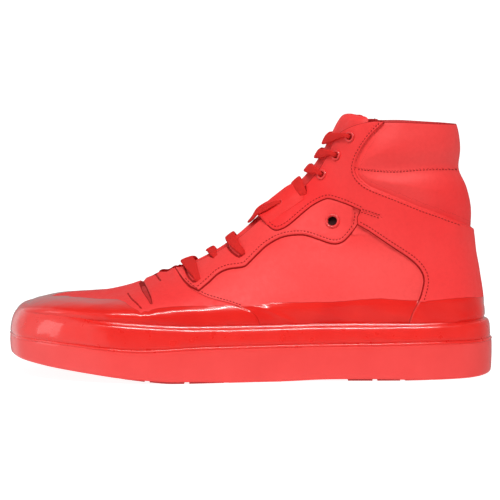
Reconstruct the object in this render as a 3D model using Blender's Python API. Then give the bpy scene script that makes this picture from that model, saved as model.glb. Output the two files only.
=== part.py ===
"""High-top skate shoe, left foot, standing empty on its sole.

All tables and functions are in millimetres in the shoe's own frame and are turned
into metres when a solid is made.  X runs from the toe (-X) to the heel (+X), the
outer side of the foot is -Y, +Z is up and the ground is z = 0.

The upper is a fan of sections.  Each section lies in a plane that holds the Y
direction and the line from a base point (on the ledge line of the sole, and from
the heel on up the back line) to a point of the crest line over the toe, the throat
and the front of the ankle.  The tray of the sole, the tongue, the laces and the
eyelets are all worked out from that same function.
"""
import math

import bmesh
import bpy
import numpy as np
from mathutils import Matrix, Vector

for old in list(bpy.data.objects):
    bpy.data.objects.remove(old, do_unlink=True)

MM = 0.001

# ---------------------------------------------------------------- named sizes (mm)
X_HEEL = 152.0          # back end of the sole at its band line
X_TOE = -152.5          # front end of the sole at its band line
Y_TOE = 5.0             # the toe curves in towards the other foot
LEDGE_INSET = 5.3       # upper's outer face at the ledge, in from the band line
GAP = 0.3               # between curved pieces that meet
WALL = 2.4              # leather and lining together
COLLAR_PAD = 4.0        # extra thickness of the padded collar
TRAY_FLOOR = 4.7        # thickness of the midsole under the foot
INSOLE = 4.0
SKIRT_IN = 1.5          # how far the upper draws in below the ledge
TREAD = 2.0             # depth of the cross grooves
LACE_W, LACE_T = 6.2, 1.5

# plan outline at the band line: part of the length from the heel, half widths
OUTLINE = (
    # t, outer side, inner side
    (0.03, 22.0, 22.0), (0.08, 33.0, 33.0), (0.15, 38.5, 39.0), (0.22, 40.5, 40.0),
    (0.30, 40.8, 38.0), (0.38, 42.0, 35.5), (0.46, 44.8, 35.5), (0.54, 48.5, 39.0),
    (0.62, 52.3, 45.5), (0.68, 53.8, 50.0), (0.74, 53.4, 52.8), (0.80, 50.5, 52.6),
    (0.86, 45.0, 49.3), (0.91, 37.8, 43.6), (0.95, 28.8, 35.6), (0.98, 17.5, 25.0),
)
# under edge of the sole, band line and ledge line: distance along, height
UNDER = ((-156, 13.6), (-150, 12.4), (-142, 10.8), (-128, 8.9), (-108, 6.6), (-88, 4.2),
         (-70, 2.0), (-56, 0.5), (-50, 0.0), (-44, 0.0), (0, 0.0), (60, 0.0), (120, 0.0),
         (138, 0.0), (144, 0.0), (150, 0.5), (156, 1.4))
BAND = ((-156, 25.0), (-140, 24.5), (-125, 24.4), (-105, 23.0), (-85, 20.9), (-68, 20.0),
        (-50, 20.8), (-34, 21.9), (5, 22.0), (50, 22.4), (76, 22.6), (105, 23.2),
        (125, 23.2), (140, 22.6), (156, 22.0))
LEDGE = ((-150, 36.6), (-138, 37.2), (-116, 37.4), (-90, 36.4), (-66, 34.8), (-44, 33.4),
         (-20, 33.2), (10, 33.1), (60, 33.8), (95, 33.5), (122, 33.7), (140, 34.2),
         (152, 34.5))
# back line of the upper above the ledge: height, distance along
BACK = ((34.5, 147.4), (41, 146.9), (52, 145.7), (66, 143.3), (76, 141.2), (88, 139.7),
        (94, 139.0), (106, 137.0), (119, 134.0), (129, 131.9), (140, 130.6), (151, 129.2),
        (157, 127.2), (163, 124.0), (170, 120.5), (180, 116.0))
# sections: base (x on the ledge, or height on the back line), crest point,
# girth outer and inner, height share of the widest point, roundness of the upper
# and lower quarter, sideways place of the crest
ANKLE_ROW = 22
SECTION = (
    # base,   crest x, crest z, girth_o, girth_i, high, n_up, n_low, crest y
    (-147.2, -147.2,  36.6,  0.0,  0.0, 0.36, 2.15, 2.1, 5.0),
    (-146.2, -147.0,  39.6,  3.0,  3.0, 0.36, 2.15, 2.1, 5.0),
    (-143.0, -144.8,  42.3,  8.0,  8.0, 0.35, 2.20, 2.1, 5.0),
    (-137.0, -139.6,  44.9, 14.0, 14.0, 0.34, 2.25, 2.1, 5.0),
    (-128.0, -131.5,  47.2, 19.0, 19.0, 0.33, 2.30, 2.1, 5.0),
    (-116.0, -121.0,  48.8, 22.0, 22.0, 0.32, 2.30, 2.1, 5.0),
    (-102.0, -109.0,  49.9, 24.0, 25.0, 0.30, 2.25, 2.1, 5.0),
    (-88.0,   -97.0,  51.2, 25.0, 27.0, 0.28, 2.20, 2.1, 5.0),
    (-74.0,   -85.5,  52.8, 26.0, 28.0, 0.26, 2.10, 2.1, 5.0),
    (-60.0,   -75.0,  55.4, 27.0, 29.0, 0.25, 2.00, 2.1, 5.0),
    (-45.0,   -66.0,  59.2, 27.5, 29.5, 0.25, 1.95, 2.1, 5.0),
    (-29.0,   -57.0,  63.2, 28.0, 30.0, 0.25, 1.90, 2.1, 5.0),
    (-12.0,   -47.5,  66.9, 28.0, 30.5, 0.25, 1.88, 2.1, 4.8),
    (6.0,     -38.0,  70.2, 28.0, 31.0, 0.25, 1.86, 2.1, 4.4),
    (25.0,    -28.5,  74.6, 28.5, 31.5, 0.26, 1.85, 2.1, 3.8),
    (45.0,    -19.5,  79.9, 29.0, 31.5, 0.27, 1.86, 2.1, 3.2),
    (65.0,    -11.0,  86.0, 29.5, 31.5, 0.28, 1.88, 2.1, 2.6),
    (84.0,     -3.0,  93.0, 30.0, 31.5, 0.30, 1.90, 2.1, 2.0),
    (102.0,     4.5, 100.3, 30.5, 31.8, 0.31, 1.92, 2.1, 1.4),
    (119.0,    11.5, 106.8, 31.4, 32.3, 0.32, 1.95, 2.1, 0.8),
    (133.0,    18.0, 112.0, 32.4, 33.0, 0.34, 1.98, 2.1, 0.3),
    (142.5,    24.0, 116.4, 33.4, 33.8, 0.36, 2.00, 2.1, 0.0),
    (34.5,     29.3, 120.9, 34.2, 34.4, 0.37, 2.02, 2.1, 0.0),   # heel corner
    (46.0,     34.0, 125.6, 34.6, 34.8, 0.38, 2.04, 2.1, 0.0),
    (60.0,     38.0, 130.3, 34.8, 35.0, 0.39, 2.06, 2.1, 0.0),
    (76.0,     41.3, 135.2, 34.8, 35.0, 0.40, 2.08, 2.1, 0.0),
    (94.0,     44.2, 140.3, 34.6, 34.8, 0.42, 2.10, 2.1, 0.0),
    (112.0,    46.9, 145.6, 34.2, 34.4, 0.44, 2.12, 2.1, 0.0),
    (128.0,    49.3, 150.5, 33.4, 33.6, 0.46, 2.15, 2.1, 0.0),
    (143.0,    51.8, 155.2, 32.4, 32.6, 0.47, 2.18, 2.1, 0.0),
    (156.8,    55.8, 160.0, 31.2, 31.4, 0.48, 2.20, 2.1, 0.0),   # collar
    (166.0,    62.0, 165.6, 29.5, 29.6, 0.48, 2.20, 2.1, 0.0),
    (174.0,    70.0, 170.5, 27.0, 27.0, 0.48, 2.20, 2.1, 0.0),
)
# level sections round the heel: how far forward they hold, and their width by height
HEEL_WRAP = (34.0, 84.0)
HEEL_WIDTH = ((36, 1.0), (48, 1.02), (62, 1.02), (80, 0.98), (100, 0.95), (120, 0.94), (140, 0.93), (157, 0.90),
              (175, 0.80))
COLLAR_ROW = 30.0
THROAT_ROW = 10.4       # where the throat opens over the ball of the foot
THROAT_ROUND = 1.0      # rows over which its round end widens
# half width of the throat opening, measured over the surface from the crest
THROAT = ((10, 8.5), (14, 9.0), (18, 10.5), (22, 12.5), (26, 14.0), (29, 15.5), (31, 16.5))
EYELET = (
    # name, distance along, height (side view), hole radius, flange radius
    ("1", 61.0, 148.6, 1.9, 3.5),
    ("2", 52.6, 137.2, 1.9, 3.5),
    ("3", 43.8, 125.4, 1.9, 3.5),
    ("strap", 50.0, 97.2, 2.9, 4.6),
)
LACE_ROW = (
    # section row where the bar crosses the crest, rows it tilts by, half length over the surface
    (28.0, -0.4, 21.0), (25.9, -0.1, 17.0), (23.8, 0.2, 13.2), (21.2, 0.1, 16.0),
    (18.6, 0.2, 15.5), (16.0, 0.1, 14.5), (13.6, 0.0, 13.0), (11.7, 0.0, 11.5),
)


# ---------------------------------------------------------------- curves
def bs(col, u, turn=False):
    """Smooth value of a table column at row number u; with turn the curve ends flat."""
    c = np.array(col, float)
    if turn:
        first, last = c[1], c[-2]
        c[0], c[-1] = (6 * c[0] - 2 * first) / 4, (6 * c[-1] - 2 * last) / 4
        ext = np.concatenate([[first], c, [last, last]])
    else:
        ext = np.concatenate([[2 * c[0] - c[1]], c, [2 * c[-1] - c[-2], 3 * c[-1] - 2 * c[-2]]])
    u = np.clip(np.asarray(u, float), 0, len(c) - 1)
    i = np.minimum(np.floor(u).astype(int), len(c) - 2)
    t = u - i
    return ((1 - t) ** 3 * ext[i] + (3 * t ** 3 - 6 * t ** 2 + 4) * ext[i + 1]
            + (-3 * t ** 3 + 3 * t ** 2 + 3 * t + 1) * ext[i + 2] + t ** 3 * ext[i + 3]) / 6


def profile(rows):
    a, b = zip(*rows)
    u = np.linspace(0, len(rows) - 1, 60 * len(rows))
    xs, ys = bs(a, u), bs(b, u)
    return lambda x: np.interp(x, xs, ys)


z_under, z_band, z_ledge, x_back = profile(UNDER), profile(BAND), profile(LEDGE), profile(BACK)


def smooth(t):
    t = np.clip(t, 0.0, 1.0)
    return t * t * (3 - 2 * t)


def outline():
    """Closed plan curve through the rows of OUTLINE with its outward normals."""
    long = X_HEEL - X_TOE
    pts = [(X_HEEL, 0.0)] + [(X_HEEL - t * long, -o) for t, o, i in OUTLINE] + [(X_TOE, Y_TOE)]
    pts += [(X_HEEL - t * long, i) for t, o, i in reversed(OUTLINE)]
    data = np.array(pts)
    n = len(data)
    a = np.zeros((n, n))
    for k in range(n):
        a[k, k], a[k, k - 1], a[k, (k + 1) % n] = 4 / 6, 1 / 6, 1 / 6
    ctrl = np.linalg.solve(a, data)
    s = np.linspace(0, n, 4000, endpoint=False)
    i = np.floor(s).astype(int)
    t = (s - i)[:, None]
    p = ((1 - t) ** 3 * ctrl[(i - 1) % n] + (3 * t ** 3 - 6 * t ** 2 + 4) * ctrl[i % n]
         + (-3 * t ** 3 + 3 * t ** 2 + 3 * t + 1) * ctrl[(i + 1) % n] + t ** 3 * ctrl[(i + 2) % n]) / 6
    d = np.roll(p, -1, 0) - np.roll(p, 1, 0)
    nrm = np.stack([-d[:, 1], d[:, 0]], 1)
    nrm /= np.linalg.norm(nrm, axis=1)[:, None]
    if (nrm[0] @ np.array([1.0, 0.0])) < 0:
        nrm = -nrm
    return p, nrm


PLAN, PLAN_N = outline()
FEATHER = PLAN - PLAN_N * LEDGE_INSET
K_HEEL, K_TOE = int(np.argmax(FEATHER[:, 0])), int(np.argmin(FEATHER[:, 0]))


def one_side(side):
    """Ledge line of one side, toe to heel: x, y and outward normal."""
    idx = np.arange(len(FEATHER))
    if side < 0:
        pick = idx[: K_TOE + 1] if K_HEEL == 0 else np.r_[np.arange(K_HEEL - len(idx), K_TOE + 1)]
        pick = pick[::-1]
    else:
        end = K_HEEL + (len(idx) if K_HEEL <= K_TOE else 0)
        pick = np.arange(K_TOE, end + 1)
    pick = pick % len(idx)
    f, nn = FEATHER[pick], PLAN_N[pick]
    keep = np.r_[True, np.diff(np.maximum.accumulate(f[:, 0])) > 0]
    return f[keep], nn[keep]


SIDE = {-1: one_side(-1), 1: one_side(1)}
X_F0, Y_F0 = FEATHER[K_TOE]
X_F1, Y_F1 = FEATHER[K_HEEL]


def ledge_y(x, side):
    f, _ = SIDE[side]
    return np.interp(x, f[:, 0], f[:, 1])


def ledge_normal(x, side):
    f, nn = SIDE[side]
    v = np.array([np.interp(x, f[:, 0], nn[:, 0]), np.interp(x, f[:, 0], nn[:, 1])])
    return v / max(np.linalg.norm(v), 1e-9)


COL = {name: [row[k] for row in SECTION] for k, name in enumerate(
    ("base", "cx", "cz", "go", "gi", "high", "nu", "nl", "cy"))}
BASE_X = [X_F0] + COL["base"][1:ANKLE_ROW] + [X_F1]
BASE_Z = COL["base"][ANKLE_ROW:]


def base(u):
    """Base point of the section at row u, side view."""
    if u <= ANKLE_ROW:
        x = float(np.clip(bs(BASE_X, u, turn=True), X_F0, X_F1))
        return x, float(z_ledge(x))
    z0 = float(z_ledge(X_F1))
    z = float(bs([z0] + BASE_Z[1:], u - ANKLE_ROW))
    x = float(x_back(z)) + (X_F1 - float(x_back(z0))) * max(0.0, 1 - (z - z0) / 30.0)
    return x, z


def half_section(u, side, n=90):
    """Half of the section at row u from the base to the crest, with its running length."""
    bx, bz = base(u)
    cx, cz = float(bs(COL["cx"], u)), float(bs(COL["cz"], u))
    if u <= 0:
        cx, cz = bx, bz
    h_all = math.hypot(cx - bx, cz - bz)
    yc = float(bs(COL["cy"], u)) if u > 0 else Y_F0
    e = max(0.0, side * (float(ledge_y(bx, side)) - yc)) if u < ANKLE_ROW else 0.0
    m = max(float(bs(COL["go" if side < 0 else "gi"], u)), 0.35 * e + 1e-3)
    wide = (e ** 4 + m ** 4) ** 0.25
    c, nu, nl = (float(bs(COL[k], u)) for k in ("high", "nu", "nl"))
    low = c * h_all / max(1e-6, 1 - (e / wide) ** nl) ** (1 / nl) if h_all > 0 else 0.0
    f0 = math.asin(min(1.0, (c * h_all / low) ** (nl / 2))) if low > 0 else 0.0
    fa = np.linspace(f0, 0, n)[:-1]
    fb = np.linspace(0, math.pi / 2, n)
    h = np.r_[c * h_all - low * np.sin(fa) ** (2 / nl),
              c * h_all + (1 - c) * h_all * np.sin(fb) ** (2 / nu)]
    w = np.r_[wide * np.cos(fa) ** (2 / nl), wide * np.abs(np.cos(fb)) ** (2 / nu)]
    h[0], w[0], w[-1] = 0.0, e, 0.0
    k = h / h_all if h_all > 0 else h * 0
    x, y, z = bx + (cx - bx) * k, yc + side * w, bz + (cz - bz) * k
    if u > 12:
        # round the heel the level sections follow the ledge line, set in with the back line
        back = np.where(z > 36.0, x_back(z), X_F1)
        back = back + (X_F1 - float(x_back(36.0))) * np.clip(1 - (z - 36.0) / 30.0, 0, 1) * (z > 36.0)
        behind = 1 - smooth((back - x - HEEL_WRAP[0]) / (HEEL_WRAP[1] - HEEL_WRAP[0]))
        level = ledge_y(np.clip(x + X_F1 - back, X_F0, X_F1), side)
        level = level * np.interp(z, *zip(*HEEL_WIDTH))
        y = y * (1 - behind) + level * behind
    pts = np.stack([x, y, z], 1)
    run = np.r_[0, np.cumsum(np.linalg.norm(np.diff(pts, axis=0), axis=1))]
    return pts, run


def form(side):
    """Table of the outer face, rows by shares, eased over the fan's turn at the heel."""
    us = np.linspace(0, len(SECTION) - 1, FINE * (len(SECTION) - 1) + 1)
    vs = np.linspace(0, 1, FINE_V + 1)
    g = np.zeros((len(us), len(vs), 3))
    length = np.zeros(len(us))
    for i, ui in enumerate(us):
        pts, run = half_section(float(ui), side)
        length[i] = run[-1]
        for k in range(3):
            g[i, :, k] = np.interp(vs * run[-1], run, pts[:, k])
    share = (1 - smooth((np.abs(us - ANKLE_ROW) - 2.2) / 1.6))[:, None, None] * smooth((vs - 0.3) / 0.15)[None, :, None]
    for _ in range(EASE):
        mean = g.copy()
        mean[1:-1] = 0.25 * g[:-2] + 0.5 * g[1:-1] + 0.25 * g[2:]
        g = g + (mean - g) * share
    return g, length


FINE, FINE_V, EASE = 8, 160, 40
FORM = {-1: form(-1), 1: form(1)}


def surface_at(u, v, side):
    """Points of the upper's outer face at row u and share v from base to crest."""
    g = FORM[side][0]
    a = np.clip(np.asarray(u, float) * FINE, 0, g.shape[0] - 1)
    b = np.clip(np.asarray(v, float) * FINE_V, 0, g.shape[1] - 1)
    i, j = np.minimum(a.astype(int), g.shape[0] - 2), np.minimum(b.astype(int), g.shape[1] - 2)
    p, q = (a - i)[..., None], (b - j)[..., None]
    return (g[i, j] * (1 - p) * (1 - q) + g[i + 1, j] * p * (1 - q)
            + g[i, j + 1] * (1 - p) * q + g[i + 1, j + 1] * p * q)


def half_length(u):
    g, length = FORM[-1]
    return float(np.interp(u * FINE, np.arange(len(length)), length))


def normals_at(u, v, side, du=0.125, dv=0.0125):
    """Outward normals for grids of u and v; at v = 0 above the heel both sides share one."""
    ua, ub = np.clip(u - du, 0, None), u + du
    ua = np.where((u >= ANKLE_ROW) & (ua < ANKLE_ROW), ANKLE_ROW, ua)
    ub = np.where((u < ANKLE_ROW) & (ub > ANKLE_ROW), ANKLE_ROW, ub)
    va, vb = np.clip(v - dv, 0, 1), np.clip(v + dv, 0, 1)
    tu = surface_at(ub, v, side) - surface_at(ua, v, side)
    tv = surface_at(u, vb, side) - surface_at(u, va, side)
    n = np.cross(tu, tv) * (-side)
    ln = np.linalg.norm(n, axis=-1)[..., None]
    n = n / np.maximum(ln, 1e-9)
    n[u <= 0] = (-1, 0, 0)
    return n


def throat_gap(u):
    """Half width of the throat opening at row u (0 ahead of it)."""
    rows, wid = zip(*THROAT)
    t = np.clip((u - THROAT_ROW) / THROAT_ROUND, 0, 1)
    return np.interp(u, rows, wid) * np.sqrt(np.clip(1 - (1 - t) ** 2, 0, 1))


# ---------------------------------------------------------------- solids
MATERIAL = {
    "leather": ((0.80, 0.065, 0.06, 1), 0.62), "rubber": ((0.72, 0.03, 0.025, 1), 0.25),
    "foam": ((0.55, 0.05, 0.05, 1), 0.85), "lace": ((0.62, 0.045, 0.04, 1), 0.8),
    "eyelet": ((0.60, 0.03, 0.03, 1), 0.35),
}
MADE = []


def material(name):
    mat = bpy.data.materials.get(name)
    if mat is None:
        mat = bpy.data.materials.new(name)
        mat.use_nodes = True
        bsdf = mat.node_tree.nodes["Principled BSDF"]
        colour, rough = MATERIAL[name]
        bsdf.inputs["Base Color"].default_value = colour
        bsdf.inputs["Roughness"].default_value = rough
    return mat


def solid(name, verts, faces, mat):
    mesh = bpy.data.meshes.new(name)
    mesh.from_pydata([tuple(float(c) * MM for c in v) for v in verts], [], faces)
    bm = bmesh.new()
    bm.from_mesh(mesh)
    bmesh.ops.recalc_face_normals(bm, faces=bm.faces)
    bm.to_mesh(mesh)
    bm.free()
    obj = bpy.data.objects.new(name, mesh)
    bpy.context.scene.collection.objects.link(obj)
    if mat:
        mesh.materials.append(material(mat))
    else:
        obj.hide_render = True
        obj.display_type = 'WIRE'
    MADE.append(obj)
    return obj


def shell(name, outer, inner, faces, mat):
    """Closed solid from a sheet and its other face, joined along every open edge."""
    n = len(outer)
    edges = {}
    for f in faces:
        for a, b in zip(f, f[1:] + f[:1]):
            edges.setdefault((min(a, b), max(a, b)), []).append((a, b))
    every = [tuple(f) for f in faces] + [tuple(n + a for a in reversed(f)) for f in faces]
    for use in edges.values():
        if len(use) == 1:
            a, b = use[0]
            every.append((b, a, n + a, n + b))
    return solid(name, list(outer) + list(inner), every, mat)


# stations of the base line, toe to heel corner, shared by the sole pieces and the upper
FOOT_U = np.r_[np.linspace(0, 3, 5), np.linspace(3.9, 18.9, 17), np.linspace(19.7, ANKLE_ROW, 5)]
FOOT_U[-1] = ANKLE_ROW
STATION = []
for uu in FOOT_U:
    bx, _ = base(float(uu))
    STATION.append((bx, float(ledge_y(bx, -1)), ledge_normal(bx, -1),
                    float(ledge_y(bx, 1)), ledge_normal(bx, 1)))


def rail(out):
    """Plan points of a loop set out from the ledge line: both sides per station."""
    rows = []
    for k, (x, yo, no, yi, ni) in enumerate(STATION):
        if k == 0:
            p = np.array([x - out, Y_F0])
            rows.append((p, p))
        elif k == len(STATION) - 1:
            p = np.array([x + out, Y_F1])
            rows.append((p, p))
        else:
            rows.append((np.array([x, yo]) + no * out, np.array([x, yi]) + ni * out))
    return rows


def stack(name, loops, lower, upper, mat, cols=6):
    """Closed solid of loops, bottom to top; lower(x, y) and upper(x, y) close it."""
    verts, faces, ids = [], [], []
    last = len(STATION) - 1
    for out, zf in loops:
        rows, here = rail(out), []
        for k, (a, b) in enumerate(rows):
            verts.append((a[0], a[1], zf(a[0], a[1], k)))
            ia = len(verts) - 1
            if k in (0, last):
                here.append((ia, ia))
            else:
                verts.append((b[0], b[1], zf(b[0], b[1], k)))
                here.append((ia, len(verts) - 1))
        ids.append(here)
    for lo, hi in zip(ids, ids[1:]):
        for k in range(last):
            faces.append((lo[k][0], lo[k + 1][0], hi[k + 1][0], hi[k][0]))
            faces.append((lo[k + 1][1], lo[k][1], hi[k][1], hi[k + 1][1]))
    for here, zf, flip in ((ids[0], lower, False), (ids[-1], upper, True)):
        grid = []
        for k in range(last + 1):
            ia, ib = here[k]
            if ia == ib:
                grid.append([ia] * (cols + 1))
                continue
            a, b = np.array(verts[ia]), np.array(verts[ib])
            line = [ia]
            for j in range(1, cols):
                p = a + (b - a) * j / cols
                verts.append((p[0], p[1], zf(p[0], p[1], p[2])))
                line.append(len(verts) - 1)
            grid.append(line + [ib])
        for k in range(last):
            for j in range(cols):
                f = [grid[k][j], grid[k][j + 1], grid[k + 1][j + 1], grid[k + 1][j]]
                f = [q for i, q in enumerate(f) if q != f[i - 1]]
                if len(set(f)) < 3:
                    continue
                faces.append(tuple(reversed(f)) if flip else tuple(f))
    return solid(name, verts, faces, mat)


def arch(x, y):
    """Waist of the sole: a low hollow from the inner side, gone at the outer edge."""
    along = math.exp(-((x - 38.0) / 20.0) ** 4)
    across = float(smooth((y + 24.0) / 26.0))
    return 3.2 * along * across


def under(x, y, k=None):
    return float(z_under(x)) + arch(x, y)


out_edge = LEDGE_INSET
outsole = stack("outsole", [
    (out_edge - 2.2, lambda x, y, k: under(x, y)),
    (out_edge - 0.5, lambda x, y, k: under(x, y) + 1.3),
    (out_edge + 0.0, lambda x, y, k: under(x, y) + 3.6),
    (out_edge + 0.0, lambda x, y, k: float(z_band(x)) - 3.0),
    (out_edge - 0.7, lambda x, y, k: float(z_band(x))),
], lambda x, y, z: under(x, y), lambda x, y, z: float(z_band(x)), "rubber")

# cross grooves between the lugs
GROOVE_X = (-131.0, -114.0, -97.0, -80.0, -63.0, -15.0, 2.0, 76.0, 93.0)
gv, gf = [], []
for gx in GROOVE_X:
    top = float(z_under(gx)) + TREAD
    n0 = len(gv)
    for sx, sy, sz in ((-1, -1, 0), (1, -1, 0), (1, 1, 0), (-1, 1, 0), (-1, -1, 1), (1, -1, 1), (1, 1, 1), (-1, 1, 1)):
        gv.append((gx + sx * 1.6 + sy * 1.5, sy * 75.0, top if sz else -6.0))
    gf += [tuple(n0 + q for q in f) for f in
           ((3, 2, 1, 0), (4, 5, 6, 7), (0, 1, 5, 4), (1, 2, 6, 5), (2, 3, 7, 6), (3, 0, 4, 7))]
grooves = solid("groove_cutter", gv, gf, None)
mod = outsole.modifiers.new("grooves", 'BOOLEAN')
mod.operation, mod.solver, mod.object = 'DIFFERENCE', 'EXACT', grooves


def floor(x):
    return float(z_band(x)) + GAP + TRAY_FLOOR


def ledge(x):
    return float(z_ledge(min(max(x, X_F0), X_F1)))


midsole = stack("midsole", [
    (out_edge - 0.7, lambda x, y, k: float(z_band(x)) + GAP),
    (out_edge - 0.1, lambda x, y, k: float(z_band(x)) + 2.4),
    (out_edge - 1.3, lambda x, y, k: ledge(x) - 4.0),
    (out_edge - 2.6, lambda x, y, k: ledge(x) - 1.0),
    (out_edge - 3.3, lambda x, y, k: ledge(x)),
    (GAP, lambda x, y, k: ledge(x)),
    (GAP - SKIRT_IN * 0.3, lambda x, y, k: ledge(x) * 0.45 + floor(x) * 0.55),
    (GAP - SKIRT_IN, lambda x, y, k: floor(x)),
], lambda x, y, z: float(z_band(x)) + GAP, lambda x, y, z: floor(x), "rubber")

insole_out = -SKIRT_IN - WALL - 0.5
insole = stack("insole", [
    (insole_out - 0.6, lambda x, y, k: floor(x) + GAP),
    (insole_out, lambda x, y, k: floor(x) + GAP + 0.8),
    (insole_out, lambda x, y, k: floor(x) + GAP + INSOLE - 0.8),
    (insole_out - 1.0, lambda x, y, k: floor(x) + GAP + INSOLE),
], lambda x, y, z: floor(x) + GAP, lambda x, y, z: floor(x) + GAP + INSOLE, "foam", cols=4)

# ---------------------------------------------------------------- upper
COLS = 11
UP_U = list(FOOT_U) + list(np.linspace(ANKLE_ROW, COLLAR_ROW, 13)[1:])
UP_U = [x for x in UP_U if abs(x - THROAT_ROW) > 0.35] + [THROAT_ROW, THROAT_ROW + 0.16, THROAT_ROW + 0.5]
UP_U = sorted(UP_U)
K_THROAT = UP_U.index(THROAT_ROW)
K_CORNER = UP_U.index(float(ANKLE_ROW))
FOOT_IN_UPPER = UP_U[: K_CORNER + 1]


def collar_drop(q):
    """Rows by which the rim falls to the throat edge at its rounded front corner."""
    return 1.9 * float(np.clip((q - 0.74) / 0.26, 0, 1)) ** 2.4


def wall(u, v):
    pad = smooth((u - 25.0) / 2.0) * (1 - smooth((v - 0.50) / 0.14))
    return WALL + COLLAR_PAD * pad


q = np.linspace(0, 1, COLS + 1)
uu = np.zeros((len(UP_U), COLS + 1))
vv = np.zeros_like(uu)
for i, u0 in enumerate(UP_U):
    for j, qj in enumerate(q):
        top = COLLAR_ROW - collar_drop(qj)
        t = max(0.0, (u0 - 24.0) / (COLLAR_ROW - 24.0))
        uj = u0 if u0 <= 24.0 else 24.0 + (top - 24.0) * t
        uu[i, j] = uj
        vv[i, j] = qj * (1 - throat_gap(uj) / half_length(max(uj, 0.05)))
sheet = {}
for side in (-1, 1):
    pts = surface_at(uu, vv, side)
    nrm = normals_at(uu, vv, side)
    sheet[side] = (pts, nrm)
for i, u0 in enumerate(UP_U):
    shared = []
    if u0 >= ANKLE_ROW:
        shared.append(0)
    if u0 <= THROAT_ROW:
        shared.append(COLS)
    for j in shared:
        n = sheet[-1][1][i, j] + sheet[1][1][i, j]
        n[1] = 0.0 if j == 0 else n[1]
        n /= np.linalg.norm(n)
        sheet[-1][1][i, j] = sheet[1][1][i, j] = n
outer, inner, index = [], [], {}


def put(key, p, n, t):
    if key not in index:
        index[key] = len(outer)
        outer.append(np.array(p))
        inner.append(np.array(p) - np.array(n) * t)
    return index[key]


for side in (-1, 1):
    pts, nrm = sheet[side]
    for i, u0 in enumerate(UP_U):
        for j in range(COLS + 1):
            n = nrm[i, j]
            if j == 0 and 0 < i < K_CORNER:
                flat = ledge_normal(pts[i, 0, 0], side)
                n = n + np.array([flat[0], flat[1], 0]) * 2
                n = n / np.linalg.norm(n)
            key = (side, i, j)
            if i == 0:
                key = "toe"
            elif (j == 0 and u0 >= ANKLE_ROW) or (j == COLS and u0 <= THROAT_ROW):
                key = (0, i, j)
            if j == 0 and i == K_CORNER:
                n = np.array([1.0, 0.0, 0.0])
            index[(side, i, j)] = put(key, pts[i, j], n, float(wall(uu[i, j], vv[i, j])))
faces = []
for side in (-1, 1):
    for i in range(len(UP_U) - 1):
        for j in range(COLS):
            f = [index[(side, i, j)], index[(side, i + 1, j)], index[(side, i + 1, j + 1)], index[(side, i, j + 1)]]
            f = [a for n, a in enumerate(f) if a != f[n - 1]]
            if len(f) < 3:
                continue
            faces.append(tuple(f) if side < 0 else tuple(reversed(f)))
# skirt inside the tray
lap = [(-1, i) for i in range(K_CORNER + 1)] + [(1, i) for i in range(K_CORNER - 1, 0, -1)]
prev = [index[(s, i, 0)] for s, i in lap]
for share in (0.55, 1.0):
    row = []
    for s, i in lap:
        p = sheet[s][0][i, 0]
        flat = np.array([-1.0, 0.0]) if i == 0 else (np.array([1.0, 0.0]) if i == K_CORNER else ledge_normal(p[0], s))
        drawn = SKIRT_IN * (0.3 if share < 1 else 1.0)
        xy = p[:2] - flat * drawn
        lowest = floor(xy[0]) + GAP
        z = p[2] * (1 - share) + lowest * share
        outer.append(np.array([xy[0], xy[1], z]))
        inner.append(np.array([xy[0] - flat[0] * WALL, xy[1] - flat[1] * WALL,
                               z if share < 1 else floor(xy[0] - flat[0] * WALL) + GAP]))
        row.append(len(outer) - 1)
    for k in range(len(lap)):
        k2 = (k + 1) % len(lap)
        faces.append((prev[k2], prev[k], row[k], row[k2]))
    prev = row
upper = shell("upper", outer, inner, faces, "leather")


# ---------------------------------------------------------------- tongue
def tongue_half(u):
    return float(np.interp(u, (9, 14, 20, 26, 31), (19, 21, 24, 28, 30)))


T_ROWS, T_COLS = 24, 12
t_out, t_in, t_faces = [], [], []
us = np.linspace(9.4, 30.55, T_ROWS)
for i, u0 in enumerate(us):
    for j in range(T_COLS + 1):
        side = -1 if j < T_COLS / 2 else 1
        share = abs(j - T_COLS / 2) / (T_COLS / 2)
        drop = 0.25 * share ** 2 + 0.55 * share ** 8
        uj = u0 - drop * float(smooth((u0 - 24) / 6.5))
        a = share * tongue_half(uj)
        v = 1 - a / half_length(uj)
        ug, vg = np.array([[uj]]), np.array([[v]])
        p = surface_at(ug, vg, side)[0, 0]
        n = normals_at(ug, vg, side)[0, 0]
        if share == 0:
            n = n + normals_at(ug, vg, 1)[0, 0] + normals_at(ug, vg, -1)[0, 0]
            n /= np.linalg.norm(n)
        open_gap = max(1.0, float(throat_gap(uj)) - 3.5)
        rise = float(smooth((uj - 12.2) / 1.5)) * (1 - float(smooth(a / open_gap)))
        deep = WALL + 1.0 - 2.1 * rise
        thick = 4.6 - 2.4 * share ** 4
        t_out.append(p - n * deep)
        t_in.append(p - n * (deep + thick))
for i in range(T_ROWS - 1):
    for j in range(T_COLS):
        a = i * (T_COLS + 1) + j
        t_faces.append((a, a + T_COLS + 1, a + T_COLS + 2, a + 1))
tongue = shell("tongue", t_out, t_in, t_faces, "leather")


# ---------------------------------------------------------------- laces
def frame_at(u, a, side):
    """Point, outward normal and the direction up the throat at arc a from the crest."""
    v = 1 - a / half_length(u)
    ug, vg = np.array([[u]]), np.array([[v]])
    p = surface_at(ug, vg, side)[0, 0]
    n = normals_at(ug, vg, side)[0, 0]
    if a < 1e-6:
        n = normals_at(ug, vg, 1)[0, 0] + normals_at(ug, vg, -1)[0, 0]
        n[1] = 0
        n /= np.linalg.norm(n)
    up = surface_at(ug + 0.1, vg, side)[0, 0] - surface_at(ug - 0.1, vg, side)[0, 0]
    up -= n * (up @ n)
    return p, n, up / np.linalg.norm(up)


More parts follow.
